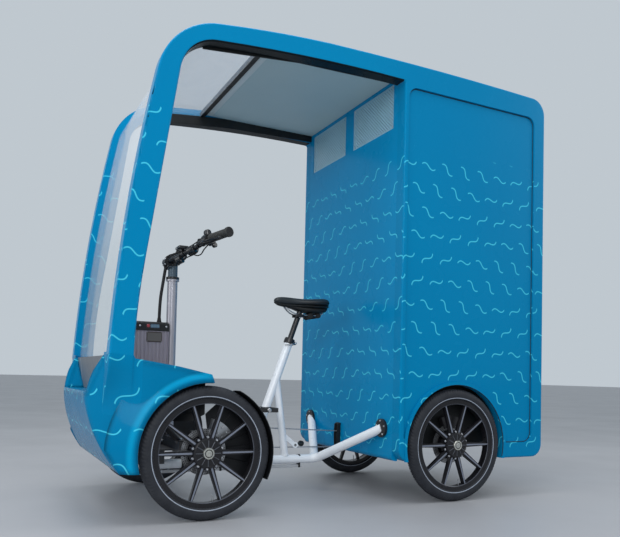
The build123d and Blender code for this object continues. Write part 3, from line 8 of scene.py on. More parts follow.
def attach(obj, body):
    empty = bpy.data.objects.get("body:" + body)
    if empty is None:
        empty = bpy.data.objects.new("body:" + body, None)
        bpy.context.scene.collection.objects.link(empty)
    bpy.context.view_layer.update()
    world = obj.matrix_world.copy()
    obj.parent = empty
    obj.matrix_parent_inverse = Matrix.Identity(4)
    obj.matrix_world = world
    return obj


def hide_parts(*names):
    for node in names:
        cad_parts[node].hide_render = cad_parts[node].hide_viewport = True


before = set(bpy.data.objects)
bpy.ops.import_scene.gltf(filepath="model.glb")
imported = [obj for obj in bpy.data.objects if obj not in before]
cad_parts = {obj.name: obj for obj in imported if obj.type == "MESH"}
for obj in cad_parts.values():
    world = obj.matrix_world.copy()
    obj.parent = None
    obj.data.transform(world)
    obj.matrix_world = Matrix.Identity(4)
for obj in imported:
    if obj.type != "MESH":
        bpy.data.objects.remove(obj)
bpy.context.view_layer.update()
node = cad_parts

# Viewpoint: a plain lens held low at the bike's left front, where the photograph was taken.
# It looks almost level; a small upward shift keeps the roof in view.
lens_data = bpy.data.cameras.new("viewpoint")
lens_data.sensor_width = 36.0
lens_data.lens = 39.09
lens_data.shift_y = 0.1314
viewpoint = bpy.data.objects.new("viewpoint", lens_data)
bpy.context.scene.collection.objects.link(viewpoint)
turn, tilt, lean = math.radians(-26.59), math.radians(2.121), math.radians(1.314)
ahead = Vector((math.sin(turn) * math.cos(tilt), -math.cos(turn) * math.cos(tilt), math.sin(tilt)))
level_right = ahead.cross(Vector((0, 0, 1))).normalized()
level_up = level_right.cross(ahead)
right = level_right * math.cos(lean) + level_up * math.sin(lean)
up = level_up * math.cos(lean) - level_right * math.sin(lean)
EYE = (1.4534, 2.9639, 0.5638)
viewpoint.matrix_world = Matrix([(right[i], up[i], -ahead[i], EYE[i]) for i in range(3)] + [(0, 0, 0, 1)])
bpy.context.scene.camera = viewpoint
bpy.context.scene.view_settings.view_transform = "Standard"


# Studio: a pale floor that runs out to a pale horizon, one wide soft lamp overhead, one ahead,
# one at the rider's left front and a weak one behind, all of them plain white.
class Flow:
    """A socket of a material, with sums and products that add the Math nodes."""

    def __init__(self, finish, socket):
        self.finish = finish
        self.socket = socket

    def maths(self, operation, *others):
        return self.finish.node("ShaderNodeMath", {"operation": operation}, [self, *others])

    def __add__(self, other):
        return self.maths("ADD", other)

    def __sub__(self, other):
        return self.maths("SUBTRACT", other)

    def __rsub__(self, other):
        return self.finish.node("ShaderNodeMath", {"operation": "SUBTRACT"}, [other, self])

    def __mul__(self, other):
        return self.maths("MULTIPLY", other)

    def __truediv__(self, other):
        return self.maths("DIVIDE", other)

    def __abs__(self):
        return self.maths("ABSOLUTE")

    def above(self, edge, soft=0.0):
        """1 where the value is above edge, with a soft step of that width."""
        if soft == 0.0:
            return self.maths("GREATER_THAN", edge)
        return self.finish.node("ShaderNodeMapRange", {"interpolation_type": "SMOOTHSTEP"},
                                {0: self, 1: edge - soft, 2: edge + soft, 3: 0.0, 4: 1.0})

    def below(self, edge, soft=0.0):
        return 1 - self.above(edge, soft)

    def between(self, low, high, soft=0.0):
        return self.above(low, soft) * self.below(high, soft)


class Finish:
    """One material: a Principled shader whose varying sockets are fed by Flow values."""

    def __init__(self, name, colour, roughness, **plain):
        self.material = bpy.data.materials.new(name)
        self.material.use_nodes = True
        self.tree = self.material.node_tree
        self.shader = self.tree.nodes["Principled BSDF"]
        self.shader.inputs["Base Color"].default_value = (*colour, 1)
        self.shader.inputs["Roughness"].default_value = roughness
        for socket, value in plain.items():
            self.shader.inputs[socket.replace("_", " ")].default_value = value

    def node(self, kind, settings=None, inputs=None, output=0):
        made = self.tree.nodes.new(kind)
        for key, value in (settings or {}).items():
            setattr(made, key, value)
        pairs = inputs.items() if isinstance(inputs, dict) else enumerate(inputs or [])
        for key, value in pairs:
            if isinstance(value, Flow):
                self.tree.links.new(value.socket, made.inputs[key])
            else:
                made.inputs[key].default_value = value
        return Flow(self, made.outputs[output])

    def feed(self, socket, flow):
        self.tree.links.new(flow.socket, self.shader.inputs[socket])
        return self

    def place(self, output="Object"):
        """The x, y and z of the texture coordinate."""
        split = self.tree.nodes.new("ShaderNodeSeparateXYZ")
        coordinate = self.tree.nodes.new("ShaderNodeTexCoord")
        self.tree.links.new(coordinate.outputs[output], split.inputs[0])
        return [Flow(self, split.outputs[i]) for i in range(3)]

    def blend(self, mask, first, second):
        """A colour that is first where mask is 0 and second where it is 1."""
        tones = [value if isinstance(value, Flow) else (*value, 1) for value in (first, second)]
        return self.node("ShaderNodeMix", {"data_type": "RGBA"}, {0: mask, 6: tones[0], 7: tones[1]}, output=2)

    def noise(self, scale, detail=4.0, roughness=0.5):
        where = self.node("ShaderNodeTexCoord", output=3)
        return self.node("ShaderNodeTexNoise", None,
                         {"Vector": where, "Scale": scale, "Detail": detail, "Roughness": roughness})

    def relief(self, height, distance, strength=1.0, soft_edge=0.0):
        """Bump; soft_edge also rounds the light on edges within that distance."""
        inputs = {"Strength": strength, "Distance": distance, "Height": height}
        if soft_edge > 0.0:
            inputs["Normal"] = self.node("ShaderNodeBevel", {"samples": 8}, {"Radius": soft_edge})
        return self.feed("Normal", self.node("ShaderNodeBump", None, inputs))

    def worn(self, first, second, scale, low, spread, grain_scale=0.0, grain=0.0):
        """Mottled colour, uneven gloss and a fine grain, as a handled surface has."""
        patch = self.noise(scale, 4.0, 0.6)
        self.feed("Base Color", self.blend(patch.above(0.5, 0.25), first, second))
        self.feed("Roughness", self.noise(scale * 3.0, 3.0) * spread + low)
        if grain_scale > 0.0:
            self.relief(self.noise(grain_scale, 2.0), grain, 0.35)
        return self


floor_finish = Finish("pale_floor", (0.36, 0.365, 0.385), 0.5)
floor_finish.worn((0.335, 0.34, 0.36), (0.385, 0.39, 0.41), 0.7, 0.35, 0.25)
floor_mesh = bpy.data.meshes.new("floor")
FLOOR_REACH = 60.0
floor_mesh.from_pydata([(-FLOOR_REACH, -FLOOR_REACH, 0), (FLOOR_REACH, -FLOOR_REACH, 0),
                        (FLOOR_REACH, FLOOR_REACH, 0), (-FLOOR_REACH, FLOOR_REACH, 0)], [], [(0, 1, 2, 3)])
floor_mesh.materials.append(floor_finish.material)
floor = bpy.data.objects.new("floor", floor_mesh)
bpy.context.scene.collection.objects.link(floor)

world = bpy.data.worlds.new("pale_room")
world.use_nodes = True
world.node_tree.nodes["Background"].inputs[0].default_value = (0.67, 0.74, 0.80, 1)
world.node_tree.nodes["Background"].inputs[1].default_value = 0.78
bpy.context.scene.world = world
LAMPS = (("lamp_overhead", (0.6, 0.4, 4.2), (0.1, 0.0, 0.8), 3.2, 95.0),
         ("lamp_front_left", (2.6, 3.9, 2.4), (0.1, 0.0, 0.9), 2.2, 78.0),
         ("lamp_ahead", (4.4, 0.4, 1.9), (0.2, 0.0, 1.1), 2.4, 36.0),
         ("lamp_behind", (-3.6, 1.6, 2.6), (-0.6, 0.0, 0.9), 2.0, 30.0))
for name, spot, aim, size, power in LAMPS:
    lamp_data = bpy.data.lights.new(name, "AREA")
    lamp_data.size = size
    lamp_data.energy = power
    lamp = bpy.data.objects.new(name, lamp_data)
    lamp.location = spot
    lamp.rotation_euler = (Vector(aim) - Vector(spot)).to_track_quat("-Z", "Y").to_euler()
    bpy.context.scene.collection.objects.link(lamp)


# Shell: glass-fibre mouldings sprayed teal under a clear coat, bonded to the frame.
# Short light wave strokes in staggered rows are printed on the outer faces; inner faces are pale.
TEAL = (0.0006, 0.222, 0.450)
TEAL_DEEP = (0.0006, 0.200, 0.420)
STROKE = (0.060, 0.560, 0.740)
PALE_LINER = (0.44, 0.47, 0.50)
RAIL_UNDERSIDE_SHADE = (0.010, 0.012, 0.013)
# lighter teal of the painted highlight along the front fenders' crest, and the band of radii it covers
CREST_HIGHLIGHT_TEAL = (0.002, 0.330, 0.590)
# x and z of the axles
REAR_AXLE = (-0.544, 0.257)
FRONT_AXLE = (0.641, 0.257)
# where the box starts, its side wall's inner face and the top of its inside
BOX_FRONT_X, WALL_INNER_Y, BOX_INNER_TOP = -0.23, 0.4625, 1.94
RAIL_LOW_Z = 1.5
SIDE_PITCH, SIDE_HALF_LINE = 0.105, 0.0026
NOSE_PITCH, NOSE_HALF_LINE = 0.135, 0.0024
NO_TOP = 9.0
WAVE_TURNS, WAVE_HEIGHT = 8.0, 0.10
STROKE_REACH, STROKE_SWING = 0.36, 0.75
# added to the count of strokes, so that it stays above zero
COUNT_FROM = 40.0
CREST_HIGHLIGHT_BAND = (0.286, 0.306)


def dress(names, finish):
    for name in names:
        node[name].data.materials.clear()
        node[name].data.materials.append(finish.material)


def distance(x, z, centre):
    """How far a point lies from a centre, as seen from the side."""
    ahead_x, over_z = x - centre[0], z - centre[1]
    return (ahead_x * ahead_x + over_z * over_z).maths("SQRT")


def paint(names, label, pitch, half_line, top, inner_face, tone=1.0, soft_edge=0.0):
    """Shell paint with wave strokes below top; inner_face says which faces are pale inside, and tone
    scales the teal up or down as painted light and painted shade. soft_edge rounds the light on edges and adds a
    painted highlight along the fenders' crest."""
    finish = Finish(label, TEAL, 0.3, Coat_Weight=0.06, Coat_Roughness=0.06, Specular_IOR_Level=0.08,
                    Specular_Tint=(0.25, 0.75, 1.0, 1.0))
    x, y, z = finish.place()
    face_x, face_y, face_z = finish.place("Normal")
    flank = abs(face_y).above(0.6)
    along = (x * flank + y * (1 - flank)) / pitch + COUNT_FROM
    row = (z / pitch).maths("FLOOR")
    shifted = along + row.maths("MODULO", 2.0) * 0.5
    column = shifted.maths("FLOOR")
    across = shifted.maths("FRACT") - 0.5
    rise = (z / pitch).maths("FRACT") - 0.5
    swing = (column * 0.7 + row * 1.1).maths("SINE") * STROKE_SWING
    run = across * swing.maths("COSINE") + rise * swing.maths("SINE")
    lift = rise * swing.maths("COSINE") - across * swing.maths("SINE")
    wave = (run * WAVE_TURNS).maths("SINE") * WAVE_HEIGHT
    slope = (run * WAVE_TURNS).maths("COSINE") * (WAVE_TURNS * WAVE_HEIGHT)
    gap = abs(lift - wave) / (slope * slope + 1.0).maths("SQRT")
    stroke = gap.below(half_line / pitch, 0.0008 / pitch) * abs(run).below(STROKE_REACH, 0.01)
    stroke = stroke * z.below(top, 0.01) * abs(face_z).below(0.6)
    # tone scales the same teal for each piece: painted light above 1, painted shade below 1
    base = finish.blend(finish.noise(1.1, 2.0).above(0.5, 0.35), [tone * part for part in TEAL],
                        [tone * part for part in TEAL_DEEP])
    if soft_edge > 0.0:
        # painted highlight: a lighter band round the front arch, where the flare's crest catches the light
        painted_crest_highlight = distance(x, z, FRONT_AXLE).between(*CREST_HIGHLIGHT_BAND, 0.009) * abs(y).above(0.46, 0.01)
        base = finish.blend(painted_crest_highlight * 0.75, base, CREST_HIGHLIGHT_TEAL)
    printed = finish.blend(stroke, base, STROKE)
    if inner_face == "y":
        inside = abs(y).below(WALL_INNER_Y) * abs(face_y).above(0.5) * x.below(BOX_FRONT_X) * z.below(BOX_INNER_TOP)
    elif inner_face == "-x":
        inside = face_x.below(-0.5)
    elif inner_face == "x":
        inside = face_x.above(0.5)
    elif inner_face == "-z":
        inside = face_z.below(-0.5)
    else:
        inside = None
    if inside is not None:
        printed = finish.blend(inside, printed, PALE_LINER)
    if inner_face == "y":
        # painted shade: the downward faces of the rails above the box front are painted near black
        painted_underside_shade = face_z.below(-0.4) * z.above(RAIL_LOW_Z) * x.above(BOX_FRONT_X + 0.01)
        printed = finish.blend(painted_underside_shade, printed, RAIL_UNDERSIDE_SHADE)
    finish.feed("Base Color", printed)
    finish.feed("Roughness", finish.noise(6.0, 3.0) * 0.10 + 0.22 - stroke * 0.05)
    finish.relief(finish.noise(14.0, 2.0) + stroke * 0.3, 0.0005, 0.10, soft_edge)
    dress(names, finish)
    return finish


paint(["left_body_side", "right_body_side"], "teal_side", SIDE_PITCH, SIDE_HALF_LINE, 1.60, "y")
# tone 0.86 paints the nose darker and tone 1.12 paints the front wall lighter: painted shade and painted light on one
# and the same teal
paint(["nose"], "teal_nose", NOSE_PITCH, NOSE_HALF_LINE, NO_TOP, None, tone=0.86, soft_edge=0.03)
paint(["box_front_wall"], "teal_wall", SIDE_PITCH, SIDE_HALF_LINE, 1.56, "-x", tone=1.12)
door_paint = paint(["left_rear_door", "right_rear_door"], "teal_door", SIDE_PITCH, SIDE_HALF_LINE, 1.60, "x")
paint(["box_roof"], "teal_lid", SIDE_PITCH, SIDE_HALF_LINE, NO_TOP, "-z")


# Panel beads: a slim black rubber bead fills the joint round each recessed side panel of the box.
# It is pressed into the corner of the recess and follows its rounded corners.
BEAD_X = (-0.2515, -0.9965)
BEAD_Z = (0.2645, 1.8615)
BEAD_R = 0.0425
BEAD_Y = 0.4905


class Shape:
    """The mesh of one piece, put together from rings of points, turned, swept and cut forms."""

    def __init__(self):
        self.work = bmesh.new()

    def rings(self, rows, joined=False, caps=True, tone=0):
        """Skin over rings of points; joined makes the last ring meet the first. tone is the material's
        index, or a function that gives it for each ring."""
        made = [[self.work.verts.new(point) for point in row] for row in rows]
        count = len(rows[0])
        after = made[1:] + made[:1] if joined else made[1:]
        for k, (first, second) in enumerate(zip(made, after)):
            for i in range(count):
                j = (i + 1) % count
                face = self.work.faces.new((first[i], first[j], second[j], second[i]))
                face.material_index = tone(k) if callable(tone) else tone
        if caps and not joined:
            for row in (made[0][::-1], made[-1]):
                self.work.faces.new(row).material_index = tone
        return self

    def turned(self, profile, centre, axis=(0, 1, 0), steps=32, joined=False):
        """Solid of revolution from (along, radius) pairs."""
        axis = Vector(axis).normalized()
        centre = Vector(centre)
        side = axis.orthogonal().normalized()
        other = axis.cross(side)
        rows = []
        for along, radius in profile:
            rows.append([centre + axis * along + (side * math.cos(a) + other * math.sin(a)) * radius
                         for a in (2 * math.pi * i / steps for i in range(steps))])
        return self.rings(rows, joined=joined)

    def swept(self, path, radius, sides=10, looped=False, flat=1.0, tone=0):
        """Tube along a line of points; flat squeezes it along its first side."""
        path = [Vector(point) for point in path]
        count = len(path)
        rows = []
        side = None
        for i, point in enumerate(path):
            before = path[i - 1] if i > 0 or looped else path[0]
            after = path[(i + 1) % count] if i < count - 1 or looped else path[-1]
            heading = (after - before).normalized()
            side = heading.orthogonal() if side is None else side - heading * side.dot(heading)
            side = side.normalized()
            other = heading.cross(side)
            size = radius[i] if isinstance(radius, (list, tuple)) else radius
            rows.append([point + (side * math.cos(a) * flat + other * math.sin(a)) * size
                         for a in (2 * math.pi * k / sides for k in range(sides))])
        return self.rings(rows, joined=looped, tone=tone)

    def slab(self, outline, origin, first, second, depth):
        """Flat outline of (first, second) pairs, thickened by depth along their normal."""
        origin, first, second = Vector(origin), Vector(first), Vector(second)
        out = first.cross(second).normalized() * depth
        low = [origin + first * a + second * b for a, b in outline]
        return self.rings([low, [point + out for point in low]])

    def block(self, low, high, edge=0.0):
        """Block between two corners with rounded edges."""
        made = bmesh.ops.create_cube(self.work, size=1.0)["verts"]
        for vert in made:
            vert.co = [low[i] + (vert.co[i] + 0.5) * (high[i] - low[i]) for i in range(3)]
        if edge > 0.0:
            sides = list(dict.fromkeys(side for vert in made for side in vert.link_edges))
            bmesh.ops.bevel(self.work, geom=sides, offset=edge, segments=2, profile=0.5, affect="EDGES",
                            clamp_overlap=True, material=-1)
        return self

    def bolt(self, centre, axis, radius, height):
        """Socket screw: rounded head with a hexagonal recess."""
        profile = [(-height * 0.3, radius), (height * 0.7, radius), (height, radius * 0.82), (height, radius * 0.48),
                   (height * 0.35, radius * 0.44)]
        return self.turned(profile, centre, axis, steps=12)

    def both_sides(self):
        """Add a mirror image on the other side of the middle plane."""
        twins = {vert: self.work.verts.new((vert.co.x, -vert.co.y, vert.co.z)) for vert in list(self.work.verts)}
        for face in list(self.work.faces):
            twin = self.work.faces.new([twins[vert] for vert in reversed(face.verts)])
            twin.material_index = face.material_index
        return self

    def piece(self, name, finishes, body, slot, stands_for=(), crease=35.0, weld=0.0, side=1):
        """Turn the mesh into an object that rides on a body; side -1 moves it to the right side first."""
        for vert in self.work.verts:
            vert.co.y *= side
        if weld > 0.0:
            bmesh.ops.remove_doubles(self.work, verts=self.work.verts, dist=weld)
        bmesh.ops.recalc_face_normals(self.work, faces=self.work.faces)
        mesh = bpy.data.meshes.new(name)
        self.work.to_mesh(mesh)
        self.work.free()
        mesh.polygons.foreach_set("use_smooth", [True] * len(mesh.polygons))
        mesh.set_sharp_from_angle(angle=math.radians(crease))
        for finish in finishes if isinstance(finishes, (list, tuple)) else [finishes]:
            mesh.materials.append(finish.material)
        made = bpy.data.objects.new(name, mesh)
        bpy.context.scene.collection.objects.link(made)
        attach(made, body)
        if stands_for:
            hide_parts(*stands_for)
        return made


def round_corners(points, radius, steps=6):
    """Points of a closed outline of (a, b) pairs whose corners are rounded."""
    made = []
    for i, corner in enumerate(points):
        corner = Vector(corner)
        before = (Vector(points[i - 1]) - corner).normalized()
        after = (Vector(points[(i + 1) % len(points)]) - corner).normalized()
        half = before.angle(after) / 2
        reach = radius / math.tan(half)
        middle = corner + (before + after).normalized() * (radius / math.sin(half))
        start = (corner + before * reach) - middle
        whole = start.angle_signed((corner + after * reach) - middle)
        for k in range(steps + 1):
            angle = -whole * k / steps
            made.append((middle.x + start.x * math.cos(angle) - start.y * math.sin(angle),
                         middle.y + start.x * math.sin(angle) + start.y * math.cos(angle)))
    return made


def at_y(line, y):
    """An outline of (x, z) pairs at one depth."""
    return [(a, y, b) for a, b in line]


black_rubber = Finish("black_rubber", (0.014, 0.014, 0.015), 0.7, Specular_IOR_Level=0.35)
black_rubber.worn((0.012, 0.012, 0.013), (0.020, 0.020, 0.021), 24.0, 0.55, 0.3, 600.0, 0.0004)
bead_line = round_corners([(BEAD_X[0], BEAD_Z[0]), (BEAD_X[0], BEAD_Z[1]), (BEAD_X[1], BEAD_Z[1]),
                           (BEAD_X[1], BEAD_Z[0])], BEAD_R, 8)
# the wheel arch cuts the lower edge, so the bead ends on both sides of its lip
ARCH_LIP_R = 0.292
beads = Shape()
lip_x = math.sqrt(ARCH_LIP_R ** 2 - (BEAD_Z[0] - REAR_AXLE[1]) ** 2)
bead_line = [(REAR_AXLE[0] + lip_x, BEAD_Z[0])] + bead_line + [(REAR_AXLE[0] - lip_x, BEAD_Z[0])]
beads.swept(at_y(bead_line, BEAD_Y), 0.0016, sides=8)
beads.both_sides().piece("panel_beads", black_rubber, "chassis", "black_trim")


# Pillar foot: a teal corbel carries each windscreen pillar's outer face down onto the nose in one
# hollow sweep and fills the corner behind it, laminated over the seam and sprayed with the nose.
# x, y of the nose's side, y of the corbel's top edge
CORBEL_ROWS = ((0.8975, 0.4935, 0.4938), (0.9050, 0.4911, 0.4929), (0.9150, 0.4872, 0.4924),
               (0.9250, 0.4823, 0.4921), (0.9304, 0.4791, 0.4936), (0.9325, 0.4780, 0.4970),
               (0.9350, 0.4765, 0.4988), (0.9384, 0.4739, 0.4997), (0.9480, 0.4665, 0.4998),
               (0.9600, 0.4565, 0.4998), (0.9750, 0.4402, 0.4998), (0.9900, 0.4238, 0.4998),
               (1.0030, 0.4095, 0.4998), (1.0114, 0.4000, 0.4997), (1.0150, 0.3962, 0.4988),
               (1.0175, 0.3935, 0.4968), (1.0190, 0.3922, 0.4935))
CORBEL_FOOT = 0.400
CORBEL_STEPS = 20
PILLAR_REAR_X, PILLAR_FOOT_Z, PILLAR_FOOT_SLOPE = 0.9310, 0.6210, 0.118
NOSE_TOP_X, NOSE_TOP_Z, NOSE_TOP_SLOPE = 0.9000, 0.6050, 0.16
# tone 0.93 paints the corbel darker, as painted shade to go with the nose
corbel_paint = paint([], "teal_corbel", NOSE_PITCH, NOSE_HALF_LINE, NO_TOP, None, tone=0.93)
corbel = Shape()
corbel_rows = []
for x, flank_y, outer_y in CORBEL_ROWS:
    if x > 0.93:
        top_z = PILLAR_FOOT_Z + (x - PILLAR_REAR_X) * PILLAR_FOOT_SLOPE
    else:
        top_z = NOSE_TOP_Z + (x - NOSE_TOP_X) * NOSE_TOP_SLOPE
    row = []
    for k in range(CORBEL_STEPS + 1):
        t = k / CORBEL_STEPS
        sweep = 0.5 + 0.5 * math.cos(math.pi * t)
        row.append((x, flank_y + (outer_y - flank_y) * sweep + 0.0002 * (1 - t), top_z + (CORBEL_FOOT - top_z) * t))
    row += [(x, flank_y - 0.006, CORBEL_FOOT), (x, flank_y - 0.006, top_z)]
    corbel_rows.append(row)
corbel.rings(corbel_rows)
corbel.both_sides().piece("pillar_foot_corbels", corbel_paint, "chassis", "teal_shell", crease=50.0)


# Arch edging: a soft black strip is pushed over the raw inner edge of each wheel arch of the box
# and of each front fender, and follows the arch from its front foot to its back foot.
def on_circle(centre, radius, degrees):
    """The (a, b) pair at an angle on a circle."""
    a = math.radians(degrees)
    return centre[0] + radius * math.cos(a), centre[1] + radius * math.sin(a)


def arc(centre, radius, start, end, steps):
    return [on_circle(centre, radius, start + (end - start) * i / steps) for i in range(steps + 1)]


def arch_line(axle, radius, y, start, end, steps=48):
    return at_y(arc(axle, radius, start, end, steps), y)


Shape().swept(arch_line(REAR_AXLE, 0.2768, 0.4985, -12.0, 192.0), 0.0020, sides=8).both_sides().piece(
    "rear_arch_edging", black_rubber, "chassis", "black_trim")
Shape().swept(arch_line(FRONT_AXLE, 0.2682, 0.5095, -12.0, 92.0), 0.0018, sides=8).both_sides().piece(
    "front_arch_edging", black_rubber, "chassis", "black_trim")


# Grey panel: textured grey plastic, clipped into the nose under the windscreen.
# Two slim light streaks run down near its sides; its middle is bare.
grey_panel = Finish("grey_panel", (0.16, 0.17, 0.185), 0.42, Specular_IOR_Level=0.4)
grey_y, grey_z = grey_panel.place()[1:]
STREAK_LEAN, STREAK_PLACE, STREAK_HALF = 0.45, 0.575, 0.004
streak = abs(abs(grey_y) + grey_z * STREAK_LEAN - STREAK_PLACE).below(STREAK_HALF, 0.0008)
grey_mottle = grey_panel.blend(grey_panel.noise(9.0).above(0.5, 0.3), (0.15, 0.16, 0.175), (0.18, 0.19, 0.205))
grey_panel.feed("Base Color", grey_panel.blend(streak, grey_mottle, (0.42, 0.44, 0.47)))
grey_panel.feed("Roughness", grey_panel.noise(40.0) * 0.2 + 0.35)
grey_panel.relief(grey_panel.noise(700.0, 2.0), 0.0003, 0.3)
dress(["screen_base"], grey_panel)


# Windscreen: clear polycarbonate sheet bent in one piece over the cab, with a hard polish.
# It is let in between both body sides; a little dust dulls it, and a painted reflection makes it paler towards the
# top, over a darker painted shade low down.
screen = Finish("clear_sheet", (0.55, 0.62, 0.66), 0.05)
facing = screen.node("ShaderNodeLayerWeight", None, {"Blend": 0.35}, output=1)
dust = screen.noise(7.0, 5.0, 0.6).above(0.55, 0.2)
# painted reflection and shade: the sheet's colour runs from a darker low tint up to a pale top
screen_low_shade, screen_top_reflection = (0.50, 0.57, 0.61), (0.86, 0.92, 0.98)
screen.feed("Base Color", screen.blend(screen.place()[2].above(1.25, 0.45), screen_low_shade, screen_top_reflection))
screen.feed("Alpha", facing * 0.34 + dust * 0.03 + 0.10)
screen.feed("Roughness", dust * 0.08 + 0.04)
dress(["windscreen"], screen)


# Roof: a pale insulated panel over the rider, let into a black frame with a front strip.
# A lighter flat bar closes the panel's front joint, and black screws hold the front strip.
roof_pale = Finish("roof_underside", (0.50, 0.64, 0.65), 0.5, Specular_IOR_Level=0.35)
roof_mottle = roof_pale.blend(roof_pale.noise(2.0).above(0.5, 0.3), (0.48, 0.62, 0.63), (0.52, 0.66, 0.67))
upper_face = roof_pale.place("Normal")[2].above(0.5)
roof_pale.feed("Base Color", roof_pale.blend(upper_face, roof_mottle, (0.27, 0.33, 0.34)))
roof_pale.feed("Roughness", roof_pale.noise(6.0, 3.0) * 0.2 + 0.38)
roof_pale.relief(roof_pale.noise(500.0, 2.0), 0.0003, 0.35)
dress(["roof_panel"], roof_pale)
floor_pale = Finish("box_floor_pale", (0.50, 0.52, 0.54), 0.5)
floor_pale.worn((0.46, 0.48, 0.50), (0.54, 0.56, 0.58), 4.0, 0.35, 0.3, 350.0, 0.0005)
dress(["box_floor"], floor_pale)
black_moulding = Finish("black_moulding", (0.010, 0.012, 0.013), 0.45, Specular_IOR_Level=0.35)
black_moulding.worn((0.008, 0.010, 0.011), (0.014, 0.016, 0.017), 12.0, 0.38, 0.25, 900.0, 0.0003)
dress(["roof_frame", "rear_arch_liners", "battery_cap"], black_moulding)
steel = Finish("bright_steel", (0.55, 0.56, 0.58), 0.3, Metallic=1.0)
steel.worn((0.50, 0.51, 0.53), (0.62, 0.63, 0.65), 30.0, 0.22, 0.2)

ROOF_UNDER = 1.922
bar_pale = Finish("roof_joint_bar", (0.68, 0.76, 0.75), 0.45)
bar_pale.worn((0.66, 0.74, 0.73), (0.70, 0.78, 0.77), 6.0, 0.35, 0.2, 500.0, 0.0002)
roof_trim = Shape()
roof_trim.block((0.368, -0.425, ROOF_UNDER - 0.0022), (0.3975, 0.425, ROOF_UNDER + 0.001), 0.001)
roof_trim.piece("roof_joint_bar", bar_pale, "chassis", "pale_panel")
roof_screws = Shape()
for k in range(7):
    roof_screws.bolt((0.418, -0.39 + 0.13 * k, ROOF_UNDER - 0.0128), (0, 0, -1), 0.004, 0.0016)
roof_screws.piece("roof_screws", black_moulding, "chassis", "black_trim")


# Vents: sheet punched with small staggered round holes, painted pale, behind both wall openings.
# A folded rim closes each sheet and four screws hold it.
VENT_Y = (0.0383, 0.4047)
VENT_Z = (1.7003, 1.9057)
VENT_X = -0.2325
VENT_T = 0.0016
VENT_COLUMNS, VENT_ROWS = 20, 24
HOLE_R = 0.0034
RIM_WIDTH, SCREW_INSET = 0.006, 0.012


def punched(shape, place, columns, rows, hole, wrap=False):
    """Sheet of cells with an eight-sided hole in each; odd rows are set half a cell along. place gives
    the point for a column, a row and a face of the sheet, and hole has the hole's size in cells."""
    corners = [(0, 0), (0.5, 0), (1, 0), (1, 0.5), (1, 1), (0.5, 1), (0, 1), (0, 0.5)]
    for row in range(rows):
        odd = row % 2
        count = columns if wrap or not odd else columns - 1
        for column in range(count):
            left = column + 0.5 * odd
            outer, inner = [], []
            for a, b in corners:
                outer.append((left + a, row + b))
                middle = Vector((a - 0.5, b - 0.5))
                inner.append((left + 0.5 + hole[0] * middle.x / middle.length,
                              row + 0.5 + hole[1] * middle.y / middle.length))
            shape.rings([[place(a, b, 0) for a, b in outer], [place(a, b, 0) for a, b in inner],
                         [place(a, b, 1) for a, b in inner], [place(a, b, 1) for a, b in outer]], caps=False)
        if odd and not wrap:
            for left in (0, columns - 0.5):
                plate = [(left, row), (left + 0.5, row), (left + 0.5, row + 0.5), (left + 0.5, row + 1),
                         (left, row + 1), (left, row + 0.5)]
                for level in (0, 1):
                    shape.work.faces.new([shape.work.verts.new(place(a, b, level)) for a, b in plate])


vent_paint = Finish("vent_sheet", (0.28, 0.49, 0.61), 0.45)
vent_paint.worn((0.265, 0.47, 0.58), (0.295, 0.51, 0.64), 9.0, 0.35, 0.2, 500.0, 0.0002)
cell_y = (VENT_Y[1] - VENT_Y[0]) / VENT_COLUMNS
cell_z = (VENT_Z[1] - VENT_Z[0]) / VENT_ROWS
vents = Shape()
punched(vents, lambda a, b, level: (VENT_X - level * VENT_T, VENT_Y[0] + a * cell_y, VENT_Z[0] + b * cell_z),
        VENT_COLUMNS, VENT_ROWS, (HOLE_R / cell_y, HOLE_R / cell_z))
rim_rows = []
for rim_x, inset in ((0.0015, 0.0), (0.0015, RIM_WIDTH), (-0.003, RIM_WIDTH), (-0.003, 0.0)):
    low_y, high_y, low_z, high_z = VENT_Y[0] + inset, VENT_Y[1] - inset, VENT_Z[0] + inset, VENT_Z[1] - inset
    rim_rows.append([(VENT_X + rim_x, a, b) for a, b in ((low_y, low_z), (high_y, low_z), (high_y, high_z),
                                                         (low_y, high_z))])
vents.rings(rim_rows, joined=True)
vents.both_sides().piece("vent_sheets", vent_paint, "chassis", "white_grille", ["vent_grilles"], weld=0.00005)
vent_screws = Shape()
for a in (VENT_Y[0] + SCREW_INSET, VENT_Y[1] - SCREW_INSET):
    for b in (VENT_Z[0] + SCREW_INSET, VENT_Z[1] - SCREW_INSET):
        vent_screws.bolt((VENT_X + 0.001, a, b), (1, 0, 0), 0.004, 0.0018)
vent_screws.both_sides().piece("vent_screws", steel, "chassis", "steel")


# Rear doors: each teal door has a raised pressed field, a rubber seal round its edge,
# a black pull handle on a backplate with a lock below, and screws through the hinge leaves.
TAIL_X = -1.067
DOOR_LOW, DOOR_TOP = 0.358, 1.919
SCREW_HEIGHTS = [DOOR_LOW + share * (DOOR_TOP - DOOR_LOW) + step for share in (0.08, 0.50, 0.92)
                 for step in (-0.044, 0.0, 0.044)]
LOCK_Y, LOCK_Z = 0.045, 0.980
SIDES = ((1, "left"), (-1, "right"))


def rounded_box(low, high, radius, steps=6):
    """Box outline between two corners, with its corners rounded."""
    return round_corners([low, (high[0], low[1]), high, (low[0], high[1])], radius, steps)


def at_x(line, x, side=1):
    """An outline of (y, z) pairs at one distance along the bike."""
    return [(x, side * a, b) for a, b in line]


